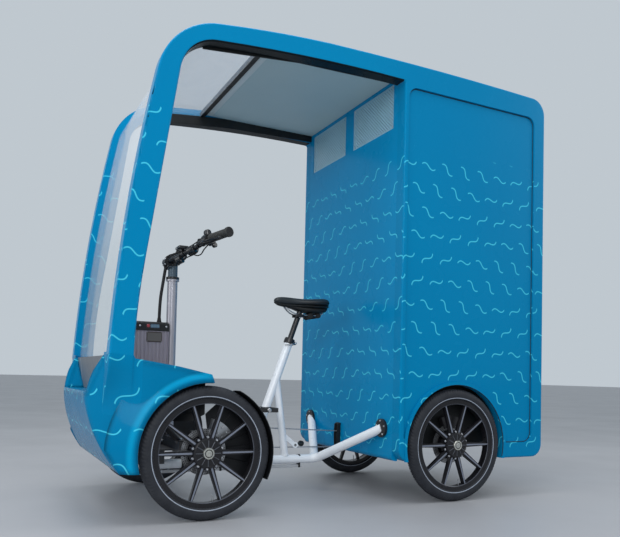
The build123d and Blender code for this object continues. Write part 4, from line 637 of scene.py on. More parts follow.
for side, word in SIDES:
    body = word + "_door"
    field = Shape()
    field.rings([at_x(rounded_box((0.075, 0.455), (0.372, 1.822), 0.03), TAIL_X + 0.001, side),
                 at_x(rounded_box((0.081, 0.461), (0.366, 1.816), 0.025), TAIL_X - 0.0025, side)])
    field.piece(word + "_door_field", door_paint, body, "teal_shell")
    seal = Shape()
    seal.swept(at_x(rounded_box((0.0065, 0.3635), (0.4305, 1.9135), 0.008, 3), TAIL_X - 0.0004, side), 0.0026,
               sides=8, looped=True)
    seal.piece(word + "_door_seal", black_rubber, body, "black_trim")
    plate = Shape()
    line = rounded_box((0.024, 0.955), (0.066, 1.168), 0.012)
    plate.rings([at_x(line, TAIL_X + 0.0005, side), at_x(line, TAIL_X - 0.0045, side)])
    plate.block((TAIL_X - 0.0080, min(side * 0.030, side * 0.060), 1.012),
                (TAIL_X - 0.0040, max(side * 0.030, side * 0.060), 1.148), 0.0018)
    plate.piece(word + "_door_handle", black_moulding, body, "black_trim")
    hardware = Shape()
    hardware.turned([(0, 0.011), (0.0062, 0.011), (0.0072, 0.0095), (0.0072, 0.0055), (0.0050, 0.0052)],
                    (TAIL_X - 0.0005, side * LOCK_Y, LOCK_Z), (-1, 0, 0), 24)
    hardware.block((TAIL_X - 0.0068, side * LOCK_Y - 0.0009, LOCK_Z - 0.0045),
                   (TAIL_X - 0.0052, side * LOCK_Y + 0.0009, LOCK_Z + 0.0045))
    for screw_z in SCREW_HEIGHTS:
        hardware.bolt((TAIL_X - 0.003, side * 0.418, screw_z), (-1, 0, 0), 0.004, 0.0018)
    hardware.piece(word + "_door_hardware", steel, body, "steel")
post_screws = Shape()
for screw_z in SCREW_HEIGHTS:
    post_screws.bolt((TAIL_X - 0.003, 0.461, screw_z), (-1, 0, 0), 0.004, 0.0018)
post_screws.both_sides().piece("hinge_screws", steel, "chassis", "steel")


# Rear lamps: red lens with an amber end, moulded with fine upright ribs inside, in a black bezel.
# Each is held by two screws on the apron under the doors.
lens = Finish("lamp_lens", (0.45, 0.008, 0.008), 0.12, Coat_Weight=0.5)
lens_y, lens_z = lens.place()[1:]
amber = abs(lens_y).above(0.372, 0.0006)
clear_end = abs(lens_y).below(0.318, 0.0006)
lens_red, lens_amber, lens_clear = (0.42, 0.006, 0.008), (0.60, 0.16, 0.006), (0.60, 0.60, 0.62)
lens.feed("Base Color", lens.blend(clear_end, lens.blend(amber, lens_red, lens_amber), lens_clear))
lens.relief((lens_y * 1600.0).maths("SINE") + (lens_z * 1600.0).maths("SINE") * 0.4, 0.0006, 0.4)
lens.feed("Roughness", lens.noise(60.0) * 0.1 + 0.08)
dress(["rear_lamps"], lens)
bezels = Shape()
line = rounded_box((0.2915, 0.2535), (0.4085, 0.3065), 0.006, 4)
inner = rounded_box((0.2955, 0.2575), (0.4045, 0.3025), 0.003, 4)
bezels.rings([at_x(line, -1.0664), at_x(line, -1.0728), at_x(inner, -1.0746), at_x(inner, -1.0664)], joined=True)
bezels.both_sides().piece("lamp_bezels", black_moulding, "chassis", "black_trim")
lamp_screws = Shape()
for screw_y in (0.300, 0.400):
    lamp_screws.bolt((-1.0738, screw_y, 0.280), (-1, 0, 0), 0.003, 0.0006)
lamp_screws.both_sides().piece("lamp_screws", steel, "chassis", "steel")


# Frame: steel tubes welded together and powder coated white, bolted to the box on two black discs.
# Weld beads ring the joints; a pale duct with clips under the spine carries the wiring back.
white_coat = Finish("white_powder_coat", (0.80, 0.82, 0.86), 0.3, Coat_Weight=0.25, Coat_Roughness=0.12)
white_coat.worn((0.85, 0.89, 0.94), (0.90, 0.93, 0.97), 6.0, 0.22, 0.15, 700.0, 0.0002)
dress(["spine_frame"], white_coat)
black_coat = Finish("black_coat", (0.012, 0.012, 0.014), 0.35, Metallic=0.1)
black_coat.worn((0.010, 0.010, 0.012), (0.018, 0.018, 0.021), 14.0, 0.24, 0.2, 800.0, 0.0002)
dress(["frame_mounts", "rear_subframe"], black_coat)
SPINE_Z = 0.155
CRANK_X, CRANK_Z = 0.3299, 0.262
welds = Shape()


def weld_ring(centre, axis, radius, bead):
    axis = Vector(axis).normalized()
    side = axis.orthogonal().normalized()
    other = axis.cross(side)
    steps = 40
    line = [Vector(centre) + (side * math.cos(a) + other * math.sin(a)) * radius
            for a in (2 * math.pi * i / steps for i in range(steps))]
    ripple = [bead * (1.0 + 0.18 * math.sin(i * 2.1)) for i in range(steps)]
    welds.swept(line, ripple, sides=6, looped=True)


seat_way = Vector((-0.200, 0, 0.557)).normalized()
strut_way = Vector((0.059, 0, 0.405)).normalized()
weld_ring(Vector((0.288, 0, SPINE_Z)) + seat_way * 0.0225, seat_way, 0.0205, 0.0022)
weld_ring(Vector((0.091, 0, SPINE_Z)) + strut_way * 0.0215, strut_way, 0.0175, 0.0022)
weld_ring(Vector((0.150, 0, 0.560)) - strut_way * 0.026, strut_way, 0.0172, 0.0020)
for shell_end in (0.0315, -0.0315):
    weld_ring((CRANK_X, shell_end, CRANK_Z), (0, 1, 0), 0.0215, 0.0010)
welds.piece("weld_beads", white_coat, "chassis", "white_frame")

duct_grey = Finish("duct_plastic", (0.52, 0.53, 0.55), 0.5)
duct_grey.worn((0.49, 0.50, 0.52), (0.56, 0.57, 0.59), 8.0, 0.4, 0.2, 600.0, 0.0003)
duct = Shape()
duct.block((0.004, -0.011, 0.1165), (0.690, 0.011, 0.1285), 0.002)
duct.piece("wiring_duct", duct_grey, "chassis", "pale_panel")
clips = Shape()
for clip_x in (0.020, 0.215, 0.420, 0.600):
    clips.turned([(-0.005, 0.0216), (-0.005, 0.0232), (0.005, 0.0232), (0.005, 0.0216)], (clip_x, 0, SPINE_Z),
                 (1, 0, 0), 36, joined=True)
    clips.block((clip_x - 0.005, -0.0125, 0.1150), (clip_x + 0.005, 0.0125, 0.1345), 0.001)
clips.piece("duct_clips", black_rubber, "chassis", "black_trim")
mount_bolts = Shape()
for k in range(5):
    mount_bolts.bolt((-0.2162, *on_circle((0.360, 0.330), 0.033, 90 + 72 * k)), (1, 0, 0), 0.0045, 0.0035)
mount_bolts.both_sides().piece("mount_bolts", steel, "chassis", "steel")
tab_eye = Shape()
tab_eye.turned([(-0.0038, 0.0048), (-0.0038, 0.0072), (0.0038, 0.0072), (0.0038, 0.0048)], (0.0390, 0, 0.222),
               (0, 1, 0), 24, joined=True)
tab_eye.piece("tab_eyelet", steel, "chassis", "steel")


# Seat post: black tube in the seat tube, held by a collar with a cam lever, with the rail clamp
# on top. Two screws close the clamp on the saddle's rails.
def eased(points, per_span=6):
    """Smooth line through the points."""
    points = [Vector(point) for point in points]
    ends = [points[0] * 2 - points[1]] + points + [points[-1] * 2 - points[-2]]
    line = []
    for i in range(1, len(ends) - 2):
        before, start, end, after = ends[i - 1:i + 3]
        for k in range(per_span):
            t = k / per_span
            line.append(0.5 * (2 * start + (end - before) * t + (2 * before - 5 * start + 4 * end - after) * t * t
                               + (3 * start - before - 3 * end + after) * t ** 3))
    return line + [points[-1]]


dress(["seat_post"], black_coat)
seat_top = Vector((0.088, 0, 0.712))
collar = Shape()
collar.turned([(0.002, 0.0243), (0.002, 0.0256), (0.011, 0.0262), (0.022, 0.0256), (0.022, 0.0243)], seat_top,
              seat_way, 40, joined=True)
lug = seat_top + seat_way * 0.012 + Vector((-0.0235, 0, -0.0085))
collar.block(lug - Vector((0.009, 0.010, 0.008)), lug + Vector((0.005, 0.010, 0.008)), 0.002)
collar.piece("seat_collar", black_coat, "chassis", "black_metal")
cam = Shape()
cam.swept([lug + Vector((-0.002, -0.019, 0)), lug + Vector((-0.002, 0.014, 0))], 0.0026, sides=12)
cam.turned([(-0.0045, 0.0062), (0.0045, 0.0062)], lug + Vector((-0.002, 0.0175, 0)), (0, 0, 1), 20)
lever_line = eased([lug + Vector((-0.002, 0.019, 0)), lug + Vector((0.018, 0.026, -0.004)),
                    lug + Vector((0.044, 0.024, -0.008)), lug + Vector((0.058, 0.021, -0.010))], 5)
cam.swept(lever_line, [0.0045 - 0.0018 * i / len(lever_line) for i in range(len(lever_line))], sides=10, flat=0.55)
cam.turned([(0, 0.0052), (0.004, 0.0052), (0.0052, 0.0040)], lug + Vector((-0.002, -0.0175, 0)), (0, -1, 0), 16)
cam.piece("seat_cam_lever", steel, "chassis", "steel")
SADDLE_CLAMP = Vector((0.0385, 0, 0.850))
RAIL_Y = 0.022
post_clamp = Shape()
for side in (-1, 1):
    post_clamp.block(SADDLE_CLAMP + Vector((-0.021, side * RAIL_Y - 0.0065, -0.0075)),
                     SADDLE_CLAMP + Vector((0.021, side * RAIL_Y + 0.0065, 0.0070)), 0.002)
post_clamp.piece("rail_clamp", black_coat, "chassis", "black_metal")
rail_bolts = Shape()
for side in (-1, 1):
    rail_bolts.bolt(SADDLE_CLAMP + Vector((0, side * RAIL_Y, -0.0070)), (0, 0, -1), 0.0048, 0.0045)
rail_bolts.piece("rail_clamp_bolts", steel, "chassis", "steel")


# Saddle: foam pad under a dark smooth skin on a deep plastic base, with a shallow middle channel.
# A piped seam runs round its edge; two steel rails under it pass through the clamp, with two rubber
# springs behind the post.
saddle_skin = Finish("saddle_skin", (0.018, 0.024, 0.028), 0.5, Specular_IOR_Level=0.45)
pores = saddle_skin.noise(420.0, 3.0)
saddle_skin.feed("Base Color", saddle_skin.blend(saddle_skin.noise(18.0).above(0.5, 0.3), (0.013, 0.019, 0.024),
                                                 (0.020, 0.028, 0.034)))
saddle_skin.feed("Roughness", pores * 0.2 + 0.36)
saddle_skin.relief(pores, 0.0004, 0.45)
SADDLE_TAIL, SADDLE_NOSE = -0.1130, 0.1685
# x share, half width, top height, bottom height, depth of the middle channel
SADDLE_STATIONS = ((0.000, 0.030, 0.9290, 0.9030, 0.000), (0.015, 0.046, 0.9370, 0.8970, 0.001),
                   (0.060, 0.063, 0.9412, 0.8935, 0.002), (0.140, 0.075, 0.9410, 0.8920, 0.003),
                   (0.240, 0.0785, 0.9380, 0.8915, 0.004), (0.340, 0.074, 0.9345, 0.8920, 0.005),
                   (0.440, 0.060, 0.9330, 0.8930, 0.005), (0.550, 0.044, 0.9340, 0.8935, 0.004),
                   (0.680, 0.0315, 0.9368, 0.8935, 0.003), (0.800, 0.0250, 0.9388, 0.8945, 0.002),
                   (0.900, 0.0210, 0.9375, 0.8975, 0.001), (0.965, 0.0170, 0.9325, 0.9030, 0.000),
                   (1.000, 0.0095, 0.9240, 0.9100, 0.000))
# the deep base below the pad: x share, half width, top height, bottom height, no channel
BASE_STATIONS = ((0.020, 0.034, 0.9020, 0.8840, 0.0), (0.070, 0.050, 0.9000, 0.8700, 0.0),
                 (0.150, 0.056, 0.8990, 0.8650, 0.0), (0.280, 0.054, 0.8990, 0.8640, 0.0),
                 (0.400, 0.046, 0.8990, 0.8645, 0.0), (0.520, 0.034, 0.8990, 0.8690, 0.0),
                 (0.640, 0.024, 0.9000, 0.8800, 0.0), (0.740, 0.019, 0.9010, 0.8870, 0.0),
                 (0.880, 0.016, 0.9030, 0.8920, 0.0), (0.960, 0.012, 0.9080, 0.8970, 0.0))
SADDLE_RING = 24


def saddle_x(share):
    return SADDLE_TAIL + share * (SADDLE_NOSE - SADDLE_TAIL)


def saddle_ring(station, grow, low, high):
    """Cross-section of the saddle between two shares of its height."""
    share, half_w, top, bottom, channel = station
    row = []
    for k in range(SADDLE_RING):
        a = 2 * math.pi * k / SADDLE_RING
        across, rise = math.cos(a), math.sin(a)
        across = math.copysign(abs(across) ** 0.75, across)
        rise = math.copysign(abs(rise) ** 0.85, rise)
        z = bottom + (top - bottom) * (low + (high - low) * (rise + 1) / 2)
        if rise > 0:
            z -= channel * math.exp(-(across * half_w / 0.011) ** 2) * rise
        row.append((saddle_x(share), across * (half_w + grow), z))
    return row


pad = Shape()
pad.rings([saddle_ring(station, 0.0, 0.10, 1.0) for station in SADDLE_STATIONS])
saddle_pad = pad.piece("saddle_pad", saddle_skin, "chassis", "saddle_skin", ["saddle"], crease=60.0)
rounding = saddle_pad.modifiers.new("rounding", "SUBSURF")
rounding.levels = rounding.render_levels = 2
base = Shape()
base.rings([saddle_ring(station, -0.0012, -0.06, 0.22) for station in SADDLE_STATIONS])
base.rings([saddle_ring(station, 0.0, 0.0, 1.0) for station in BASE_STATIONS])
saddle_base = base.piece("saddle_base", black_moulding, "chassis", "black_trim", crease=60.0)
rounding = saddle_base.modifiers.new("rounding", "SUBSURF")
rounding.levels = rounding.render_levels = 1
piping = Shape()
for side in (-1, 1):
    line = [(saddle_x(share), side * (half_w - 0.0012), bottom + (top - bottom) * 0.50)
            for share, half_w, top, bottom, channel in SADDLE_STATIONS[1:-1]]
    piping.swept(eased(line, 5), 0.0011, sides=6)
piping.piece("saddle_piping", black_rubber, "chassis", "saddle_skin")
rails = Shape()
for side in (-1, 1):
    rail_line = [(-0.084, side * 0.030, 0.8730), (-0.070, side * 0.027, 0.8600), (-0.040, side * RAIL_Y, 0.8555),
                 (0.010, side * RAIL_Y, 0.8550), (0.055, side * RAIL_Y, 0.8560), (0.085, side * 0.017, 0.8680),
                 (0.112, side * 0.009, 0.8890)]
    rails.swept(eased(rail_line, 5), 0.0035, sides=10)
rails.piece("saddle_rails", steel, "chassis", "steel")
springs = Shape()
for spring_x, spring_z, share in ((-0.016, 0.8500, 1.0), (-0.0575, 0.8555, 0.82)):
    springs.turned([(-0.034, 0.0110 * share), (-0.030, 0.0155 * share), (-0.012, 0.0155 * share),
                    (-0.009, 0.0125 * share), (0.009, 0.0125 * share), (0.012, 0.0155 * share),
                    (0.030, 0.0155 * share), (0.034, 0.0110 * share)], (spring_x, 0, spring_z), (0, 1, 0), 28)
springs.piece("saddle_springs", black_rubber, "chassis", "black_rubber")


# Front running gear: cast grey cross beam with king pins on a black subframe, knuckles of black
# steel with silver calipers, and a silver tie rod with rubber boots on its ball joints.
cast_grey = Finish("cast_grey", (0.085, 0.088, 0.095), 0.5, Metallic=0.3)
tray = cast_grey.place()[2].above(0.287, 0.002)
cast_mottle = cast_grey.blend(cast_grey.noise(16.0).above(0.5, 0.3), (0.085, 0.088, 0.095), (0.12, 0.122, 0.13))
cast_grey.feed("Base Color", cast_grey.blend(tray, cast_mottle, (0.012, 0.012, 0.014)))
cast_grey.feed("Roughness", cast_grey.noise(50.0) * 0.25 + 0.35)
cast_grey.relief(cast_grey.noise(260.0, 3.0), 0.0006, 0.5)
dress(["front_subframe"], cast_grey)
knuckle_coat = Finish("knuckle_coat", (0.012, 0.012, 0.014), 0.35, Metallic=0.3)
knuckle_x, knuckle_y, knuckle_z = knuckle_coat.place()
bright = distance(knuckle_x, knuckle_z, FRONT_AXLE).above(0.0755) * abs(knuckle_y).above(0.4205)
knuckle_coat.feed("Base Color", knuckle_coat.blend(bright, (0.012, 0.012, 0.014), (0.46, 0.48, 0.51)))
knuckle_coat.feed("Metallic", bright * 0.7 + 0.2)
knuckle_coat.feed("Roughness", knuckle_coat.noise(40.0) * 0.2 + 0.26)
knuckle_coat.relief(knuckle_coat.noise(300.0, 3.0), 0.0004, 0.4)
dress(["left_knuckle", "right_knuckle"], knuckle_coat)
silver = Finish("silver_metal", (0.52, 0.53, 0.56), 0.35, Metallic=0.8)
silver.worn((0.48, 0.49, 0.52), (0.57, 0.58, 0.61), 18.0, 0.28, 0.2)
dress(["tie_rod"], silver)

KING_PIN_Y, ARM_X, TIE_Z = 0.385, 0.571, 0.207
for side, word in SIDES:
    fittings = Shape()
    for degrees in (112.0, 127.5, 143.0):
        for radius, head, height in ((0.118, 0.006, 0.005), (0.090, 0.0045, 0.004)):
            bolt_x, bolt_z = on_circle(FRONT_AXLE, radius, degrees)
            fittings.bolt((bolt_x, 0.4465, bolt_z), (0, 1, 0), head, height)
    fittings.turned([(0, 0.012), (0.003, 0.012), (0.0045, 0.010)], (ARM_X, KING_PIN_Y, 0.2270), (0, 0, 1), 6)
    fittings.piece(word + "_caliper_bolts", steel, word + "_steer", "steel", side=side)
boots = Shape()
sleeves = Shape()
boot_profile = [(-0.0105, 0.0128)]
for k in range(4):
    boot_profile += [(-0.0095 + k * 0.0045, 0.0158), (-0.0072 + k * 0.0045, 0.0136)]
boot_profile += [(0.0085, 0.0128)]
for side in (-1, 1):
    boots.turned(boot_profile, (ARM_X, side * KING_PIN_Y, TIE_Z), (0, 0, 1), 28)
    sleeves.turned([(0, 0.0085), (0.004, 0.0098), (0.040, 0.0098), (0.044, 0.0085)], (ARM_X, side * 0.300, TIE_Z),
                   (0, side, 0), 6)
boots.piece("tie_rod_boots", black_rubber, "track_rod", "black_rubber")
sleeves.piece("tie_rod_sleeves", steel, "track_rod", "steel")
beam_bolts = Shape()
for side in (-1, 1):
    for bolt_x in (0.632, 0.690):
        for bolt_y in (0.120, 0.280):
            beam_bolts.bolt((bolt_x, side * bolt_y, 0.2898), (0, 0, 1), 0.008, 0.006)
    beam_bolts.bolt((0.7062, side * 0.060, 0.265), (1, 0, 0), 0.008, 0.006)
    beam_bolts.turned([(0, 0.015), (0.006, 0.015), (0.009, 0.012)], (FRONT_AXLE[0], side * KING_PIN_Y, 0.3275),
                      (0, 0, 1), 6)
beam_bolts.piece("beam_bolts", steel, "chassis", "steel")


# Mudguards: thin black plastic blades, each with a rolled edge and a stay to its knuckle. A side
# plate inside the wheel turns with each; a fixed liner closes the fender's inner side. The black of
# plates and liners also partly stands in for the shade inside the fender.
guard_black = Finish("guard_plastic", (0.006, 0.007, 0.009), 0.4, Specular_IOR_Level=0.3)
guard_black.worn((0.005, 0.006, 0.008), (0.009, 0.010, 0.012), 10.0, 0.32, 0.2, 700.0, 0.0002)
dress(["left_mudguard", "right_mudguard"], guard_black)
GUARD_R, GUARD_START, GUARD_END = 0.2665, 117.0, 204.0
GUARD_INNER_Y, GUARD_OUTER_Y = 0.4432, 0.5028
# radius and y of the side plate's rolled flange
FLANGE = ((0.2600, 0.4165), (0.2680, 0.4165), (0.2680, 0.4425), (0.2656, 0.4425), (0.2656, 0.4190),
          (0.2600, 0.4190))
LINER_R = 0.2774


def liner_y(x):
    """The liner leans inwards towards the front, to clear the turned wheel."""
    return 0.4427 - 0.625 * (x - FRONT_AXLE[0])


for side, word in SIDES:
    edges = Shape()
    for edge_y in (GUARD_INNER_Y, GUARD_OUTER_Y):
        edges.swept(arch_line(FRONT_AXLE, GUARD_R, edge_y, GUARD_START, GUARD_END, 40), 0.0016, sides=8)
    for degrees in (GUARD_START, GUARD_END):
        foot = [on_circle(FRONT_AXLE, GUARD_R, degrees)]
        edges.swept(at_y(foot, GUARD_INNER_Y) + at_y(foot, GUARD_OUTER_Y), 0.0016, sides=8)
    stay_x, stay_z = on_circle(FRONT_AXLE, 0.2688, 176.0)
    for stay_y in (0.456, 0.470):
        edges.bolt((stay_x, stay_y, stay_z), (-1, 0, 0.07), 0.004, 0.002)
    edges.piece(word + "_mudguard_edge", guard_black, word + "_steer", "black_trim", side=side)
    # the side plate is black plastic; its black also partly stands in for the shade inside the fender
    plate_edge = [(-0.010, 0.145)] + arc((0, 0), 0.262, 115.5, 213.0, 20) + arc((0, 0), 0.078, 213.0, 105.0, 10)
    side_plate = Shape()
    side_plate.slab(plate_edge, (FRONT_AXLE[0], 0.4190, FRONT_AXLE[1]), (1, 0, 0), (0, 0, 1), 0.0025)
    side_plate.rings(list(zip(*[arch_line(FRONT_AXLE, radius, y, 117.5, 203.0, 18) for radius, y in FLANGE])))
    for degrees in (128, 160, 195):
        rib = [on_circle(FRONT_AXLE, radius, degrees) for radius in (0.095, 0.175, 0.250)]
        side_plate.swept(at_y(rib, 0.4188), 0.0022, sides=8)
    side_plate.piece(word + "_mudguard_side", guard_black, word + "_steer", "black_trim", side=side)
# the liner is black plastic; deep inboard its black also partly stands in for the shade inside the fender
liner = Shape()
liner_edge = [(0.640, 0.402), (0.648, 0.397), (0.690, 0.372), (0.890, 0.372)]
liner_edge += arc(FRONT_AXLE, LINER_R, 27.0, 90.0, 10)
liner.rings([[(a, min(0.4385, liner_y(a)) - depth, b) for a, b in liner_edge] for depth in (0, 0.0025)])
for rib_z in (0.405, 0.455):
    reach_x = math.sqrt(LINER_R ** 2 - (rib_z - FRONT_AXLE[1]) ** 2) + FRONT_AXLE[0] - 0.010
    liner.swept([(0.665, liner_y(0.665), rib_z), (reach_x, liner_y(reach_x), rib_z)], 0.0022, sides=8)
liner.both_sides().piece("wheel_house_liners", guard_black, "chassis", "black_trim")


# Wheels: cast ten-spoke wheels in satin black, steel drilled brake discs, and a ribbed hub cap
# with a bright centre. Ten small screws stand between the spokes; a valve sits in the rim.
WHEELS = (("left_front", 1, FRONT_AXLE), ("right_front", -1, FRONT_AXLE), ("left_rear", 1, REAR_AXLE),
          ("right_rear", -1, REAR_AXLE))
WHEEL_Y = 0.473
brass = Finish("hub_centre", (0.55, 0.55, 0.50), 0.25, Metallic=1.0)
brass.worn((0.52, 0.53, 0.50), (0.62, 0.61, 0.54), 60.0, 0.18, 0.15)
disc_steel = Finish("disc_steel", (0.42, 0.43, 0.45), 0.35, Metallic=0.9)
disc_steel.worn((0.38, 0.39, 0.41), (0.48, 0.49, 0.51), 90.0, 0.25, 0.25)
cast_black = Finish("wheel_black", (0.008, 0.008, 0.010), 0.3, Specular_IOR_Level=0.35, Coat_Weight=0.1,
                    Coat_Roughness=0.15)
wheel_x, wheel_y, wheel_z = cast_black.place()
off_axle = abs(wheel_x - FRONT_AXLE[0]).maths("MINIMUM", abs(wheel_x - REAR_AXLE[0]))
off_level = wheel_z - FRONT_AXLE[1]
spoke_r = (off_axle * off_axle + off_level * off_level).maths("SQRT")
# painted highlight: the outer ridge of each spoke is painted lighter than the satin black
painted_ridge_highlight = abs(wheel_y).above(0.4886, 0.0007) * spoke_r.between(0.060, 0.188, 0.004)
cast_black.feed("Base Color", cast_black.blend(painted_ridge_highlight, cast_black.blend(
    cast_black.noise(16.0).above(0.5, 0.25), (0.006, 0.006, 0.008), (0.011, 0.011, 0.014)), (0.17, 0.19, 0.24)))
cast_black.feed("Roughness", cast_black.noise(48.0) * 0.16 + 0.22)
cast_black.relief(cast_black.noise(500.0, 2.0), 0.0002, 0.35)
rib_grey = Finish("hub_rib_grey", (0.09, 0.10, 0.12), 0.35, Metallic=0.3)
rib_grey.worn((0.08, 0.09, 0.11), (0.12, 0.13, 0.15), 40.0, 0.25, 0.2)
DISC_CELLS, DISC_ROWS = 72, 3
DISC_INNER_R, DISC_OUTER_R, DISC_Y, DISC_THICK = 0.0660, 0.0898, 0.4394, 0.0004
SPOKES = 10
SCREW_CIRCLE_R = 0.0605
for name, side, axle in WHEELS:
    dress([name + "_wheel"], cast_black)
    body = name + "_roller"
    middle = (axle[0], WHEEL_Y, axle[1])

    def spot(radius, degrees, out):
        x, z = on_circle(axle, radius, degrees)
        return Vector((x, WHEEL_Y + out, z))

    hub, screws = Shape(), Shape()
    for k in range(SPOKES):
        between_spokes = 18 + 360 / SPOKES * k
        hub.turned([(-0.006, 0.0072), (0.0140, 0.0072), (0.0160, 0.0058)], spot(SCREW_CIRCLE_R, between_spokes, 0),
                   (0, 1, 0), 14)
        screws.bolt(spot(SCREW_CIRCLE_R, between_spokes, 0.0160), (0, 1, 0), 0.0046, 0.0036)
    for k in range(12):
        hub.swept([spot(0.0235, 30 * k, 0.0292), spot(0.0500, 30 * k, 0.0278)], 0.0013, sides=6, tone=1)
    hub.turned([(0.0195, 0.0555), (0.0225, 0.0575), (0.0262, 0.0560), (0.0278, 0.0515), (0.0262, 0.0500)],
               middle, (0, 1, 0), 64, joined=True)
    hub.turned([(0.0165, 0.1895), (0.0180, 0.1875), (0.0195, 0.1895)], middle, (0, 1, 0), 96, joined=True)
    hub.piece(name + "_hub_ribs", [cast_black, rib_grey], body, "black_metal", side=side)
    centre = Shape()
    centre.turned([(0.0285, 0.0232), (0.0340, 0.0228), (0.0362, 0.0212), (0.0366, 0.0160), (0.0352, 0.0150),
                   (0.0352, 0.0132), (0.0368, 0.0122), (0.0374, 0.0080), (0.0376, 0.0020)], middle, (0, 1, 0), 48)
    centre.piece(name + "_hub_centre", brass, body, "silver", side=side)
    valve_at = spot(0.189, 261.0, 0.004)
    inwards = Vector((axle[0], valve_at.y, axle[1])) - valve_at
    screws.turned([(0, 0.0032), (0.006, 0.0032), (0.007, 0.0024), (0.020, 0.0024), (0.0205, 0.0030), (0.028, 0.0030)],
                  valve_at, inwards, 12)
    screws.piece(name + "_wheel_screws", steel, body, "steel", side=side)

    def rotor_point(a, b, level):
        radius = DISC_INNER_R + (DISC_OUTER_R - DISC_INNER_R) * b / DISC_ROWS
        x, z = on_circle(axle, radius, 360 * (a + 0.3 * b) / DISC_CELLS)
        return Vector((x, DISC_Y + level * DISC_THICK, z))

    rotor = Shape()
    punched(rotor, rotor_point, DISC_CELLS, DISC_ROWS, (0.30, 0.26), wrap=True)
    for b in (0, DISC_ROWS):
        rotor.rings([[rotor_point(a / 2 + (0.0 if b == 0 else 0.5), b, level) for a in range(DISC_CELLS * 2)]
                     for level in (0, 1)], caps=False)
    rotor.piece(name + "_brake_disc", disc_steel, body, "steel", weld=0.00002, side=side)


# Tyres: black rubber with slanted sipes cut across the shoulders and two grooves round the crown.
# A pale reflecting ring is moulded into each sidewall, just outside the rim.
tyre_black = Finish("tyre_black", (0.017, 0.019, 0.025), 0.7, Specular_IOR_Level=0.35)
tyre_black.worn((0.014, 0.016, 0.022), (0.024, 0.027, 0.034), 20.0, 0.52, 0.25, 450.0, 0.0004)
reflecting = Finish("reflecting_ring", (0.32, 0.36, 0.43), 0.35)
reflecting.worn((0.28, 0.32, 0.39), (0.36, 0.40, 0.47), 60.0, 0.25, 0.2, 900.0, 0.0002)
TYRE_STEPS = 648
# each sipe repeats after this many steps, this deep, and slants by this many steps a metre
SIPE_STEPS, SIPE_DEPTH, SIPE_LEAN = 6, 0.0024, 330.0
TREAD = (0.0055, 0.0255)
# half the section, from the crown to the bead: y from the middle plane, radius
HALF_TYRE = ((0.0000, 0.2570), (0.0030, 0.2569), (0.0044, 0.2552), (0.0058, 0.2566), (0.0095, 0.2558),
             (0.0130, 0.2547), (0.0165, 0.2532), (0.0200, 0.2506), (0.0228, 0.2470), (0.0250, 0.2420),
             (0.0266, 0.2355), (0.0270, 0.2290), (0.0266, 0.2220), (0.0258, 0.2180), (0.0262, 0.2176),
             (0.0257, 0.2142), (0.0250, 0.2138), (0.0222, 0.2104), (0.0190, 0.2090), (0.0163, 0.2088),
             (0.0160, 0.2045))
RING_ROW = 14
crown_row = len(HALF_TYRE) - 1
pale_rows = (crown_row + RING_ROW, crown_row - RING_ROW - 1)
for name, side, (axle_x, axle_z) in WHEELS:
    rows = []
    for y, r in [(-y, r) for y, r in HALF_TYRE[:0:-1]] + list(HALF_TYRE):
        row = []
        in_tread = TREAD[0] < abs(y) < TREAD[1]
        for i in range(TYRE_STEPS):
            a = 2 * math.pi * i / TYRE_STEPS
            cut = SIPE_DEPTH if in_tread and int(i + abs(y) * SIPE_LEAN) % SIPE_STEPS < 2 else 0.0
            row.append((axle_x + (r - cut) * math.cos(a), WHEEL_Y + y, axle_z + (r - cut) * math.sin(a)))
        rows.append(row)
    tyre = Shape()
    tyre.rings(rows, joined=True, tone=lambda k: 1 if k in pale_rows else 0)
    tyre.piece(name + "_tyre_treaded", [tyre_black, reflecting], name + "_roller", "tyre_rubber", [name + "_tyre"],
               crease=28.0, side=side)


# Steering column: silver tube with a black collar, and the black bar turning in it.
# The bar is held by a faceplate with four screws; a cap closes the steerer.
column_silver = Finish("column_silver", (0.42, 0.41, 0.45), 0.35, Metallic=0.55)
collar_zone = column_silver.place()[2].above(0.9745, 0.0003)
silver_mottle = column_silver.blend(column_silver.noise(12.0).above(0.5, 0.3), (0.41, 0.40, 0.44), (0.46, 0.45, 0.49))
column_silver.feed("Base Color", column_silver.blend(collar_zone, silver_mottle, (0.010, 0.010, 0.012)))
column_silver.feed("Metallic", 0.55 - collar_zone * 0.5)
column_silver.feed("Roughness", column_silver.noise(90.0) * 0.15 + 0.28)
dress(["column_tube"], column_silver)
bar_black = Finish("bar_black", (0.012, 0.013, 0.015), 0.35, Metallic=0.2)
bar_y, bar_z = bar_black.place()[1:]
stem_zone = bar_z.between(0.985, 1.034) * abs(bar_y).below(0.03)
bar_mottle = bar_black.blend(bar_black.noise(30.0).above(0.5, 0.3), (0.010, 0.011, 0.013), (0.018, 0.019, 0.022))
bar_black.feed("Base Color", bar_black.blend(stem_zone, bar_mottle, (0.075, 0.115, 0.150)))
bar_black.feed("Roughness", bar_black.noise(60.0) * 0.2 + 0.26)
dress(["handlebar"], bar_black)
COLUMN_X = 0.666
BAR = (0.690, 1.052)
trim = Shape()
trim.turned([(0, 0.0205), (0.003, 0.0205), (0.005, 0.017), (0.005, 0.007), (0.003, 0.0065)], (COLUMN_X, 0, 1.0675),
            (0, 0, 1), 32)
trim.slab(arc(BAR, 0.0200, -60, 60, 12) + arc(BAR, 0.0165, 60, -60, 12), (0, 0.024, 0), (1, 0, 0), (0, 0, 1), 0.048)
trim.piece("stem_faceplate", bar_black, "steering", "black_metal")
stem_bolts = Shape()
for side in (-1, 1):
    for degrees in (-38.0, 38.0):
        bolt_x, bolt_z = on_circle(BAR, 0.0195, degrees)
        stem_bolts.bolt((bolt_x, side * 0.017, bolt_z), (bolt_x - BAR[0], 0, bolt_z - BAR[1]), 0.0042, 0.0036)
stem_bolts.bolt((COLUMN_X, 0, 1.0710), (0, 0, 1), 0.0045, 0.002)
stem_bolts.piece("stem_bolts", steel, "steering", "steel")


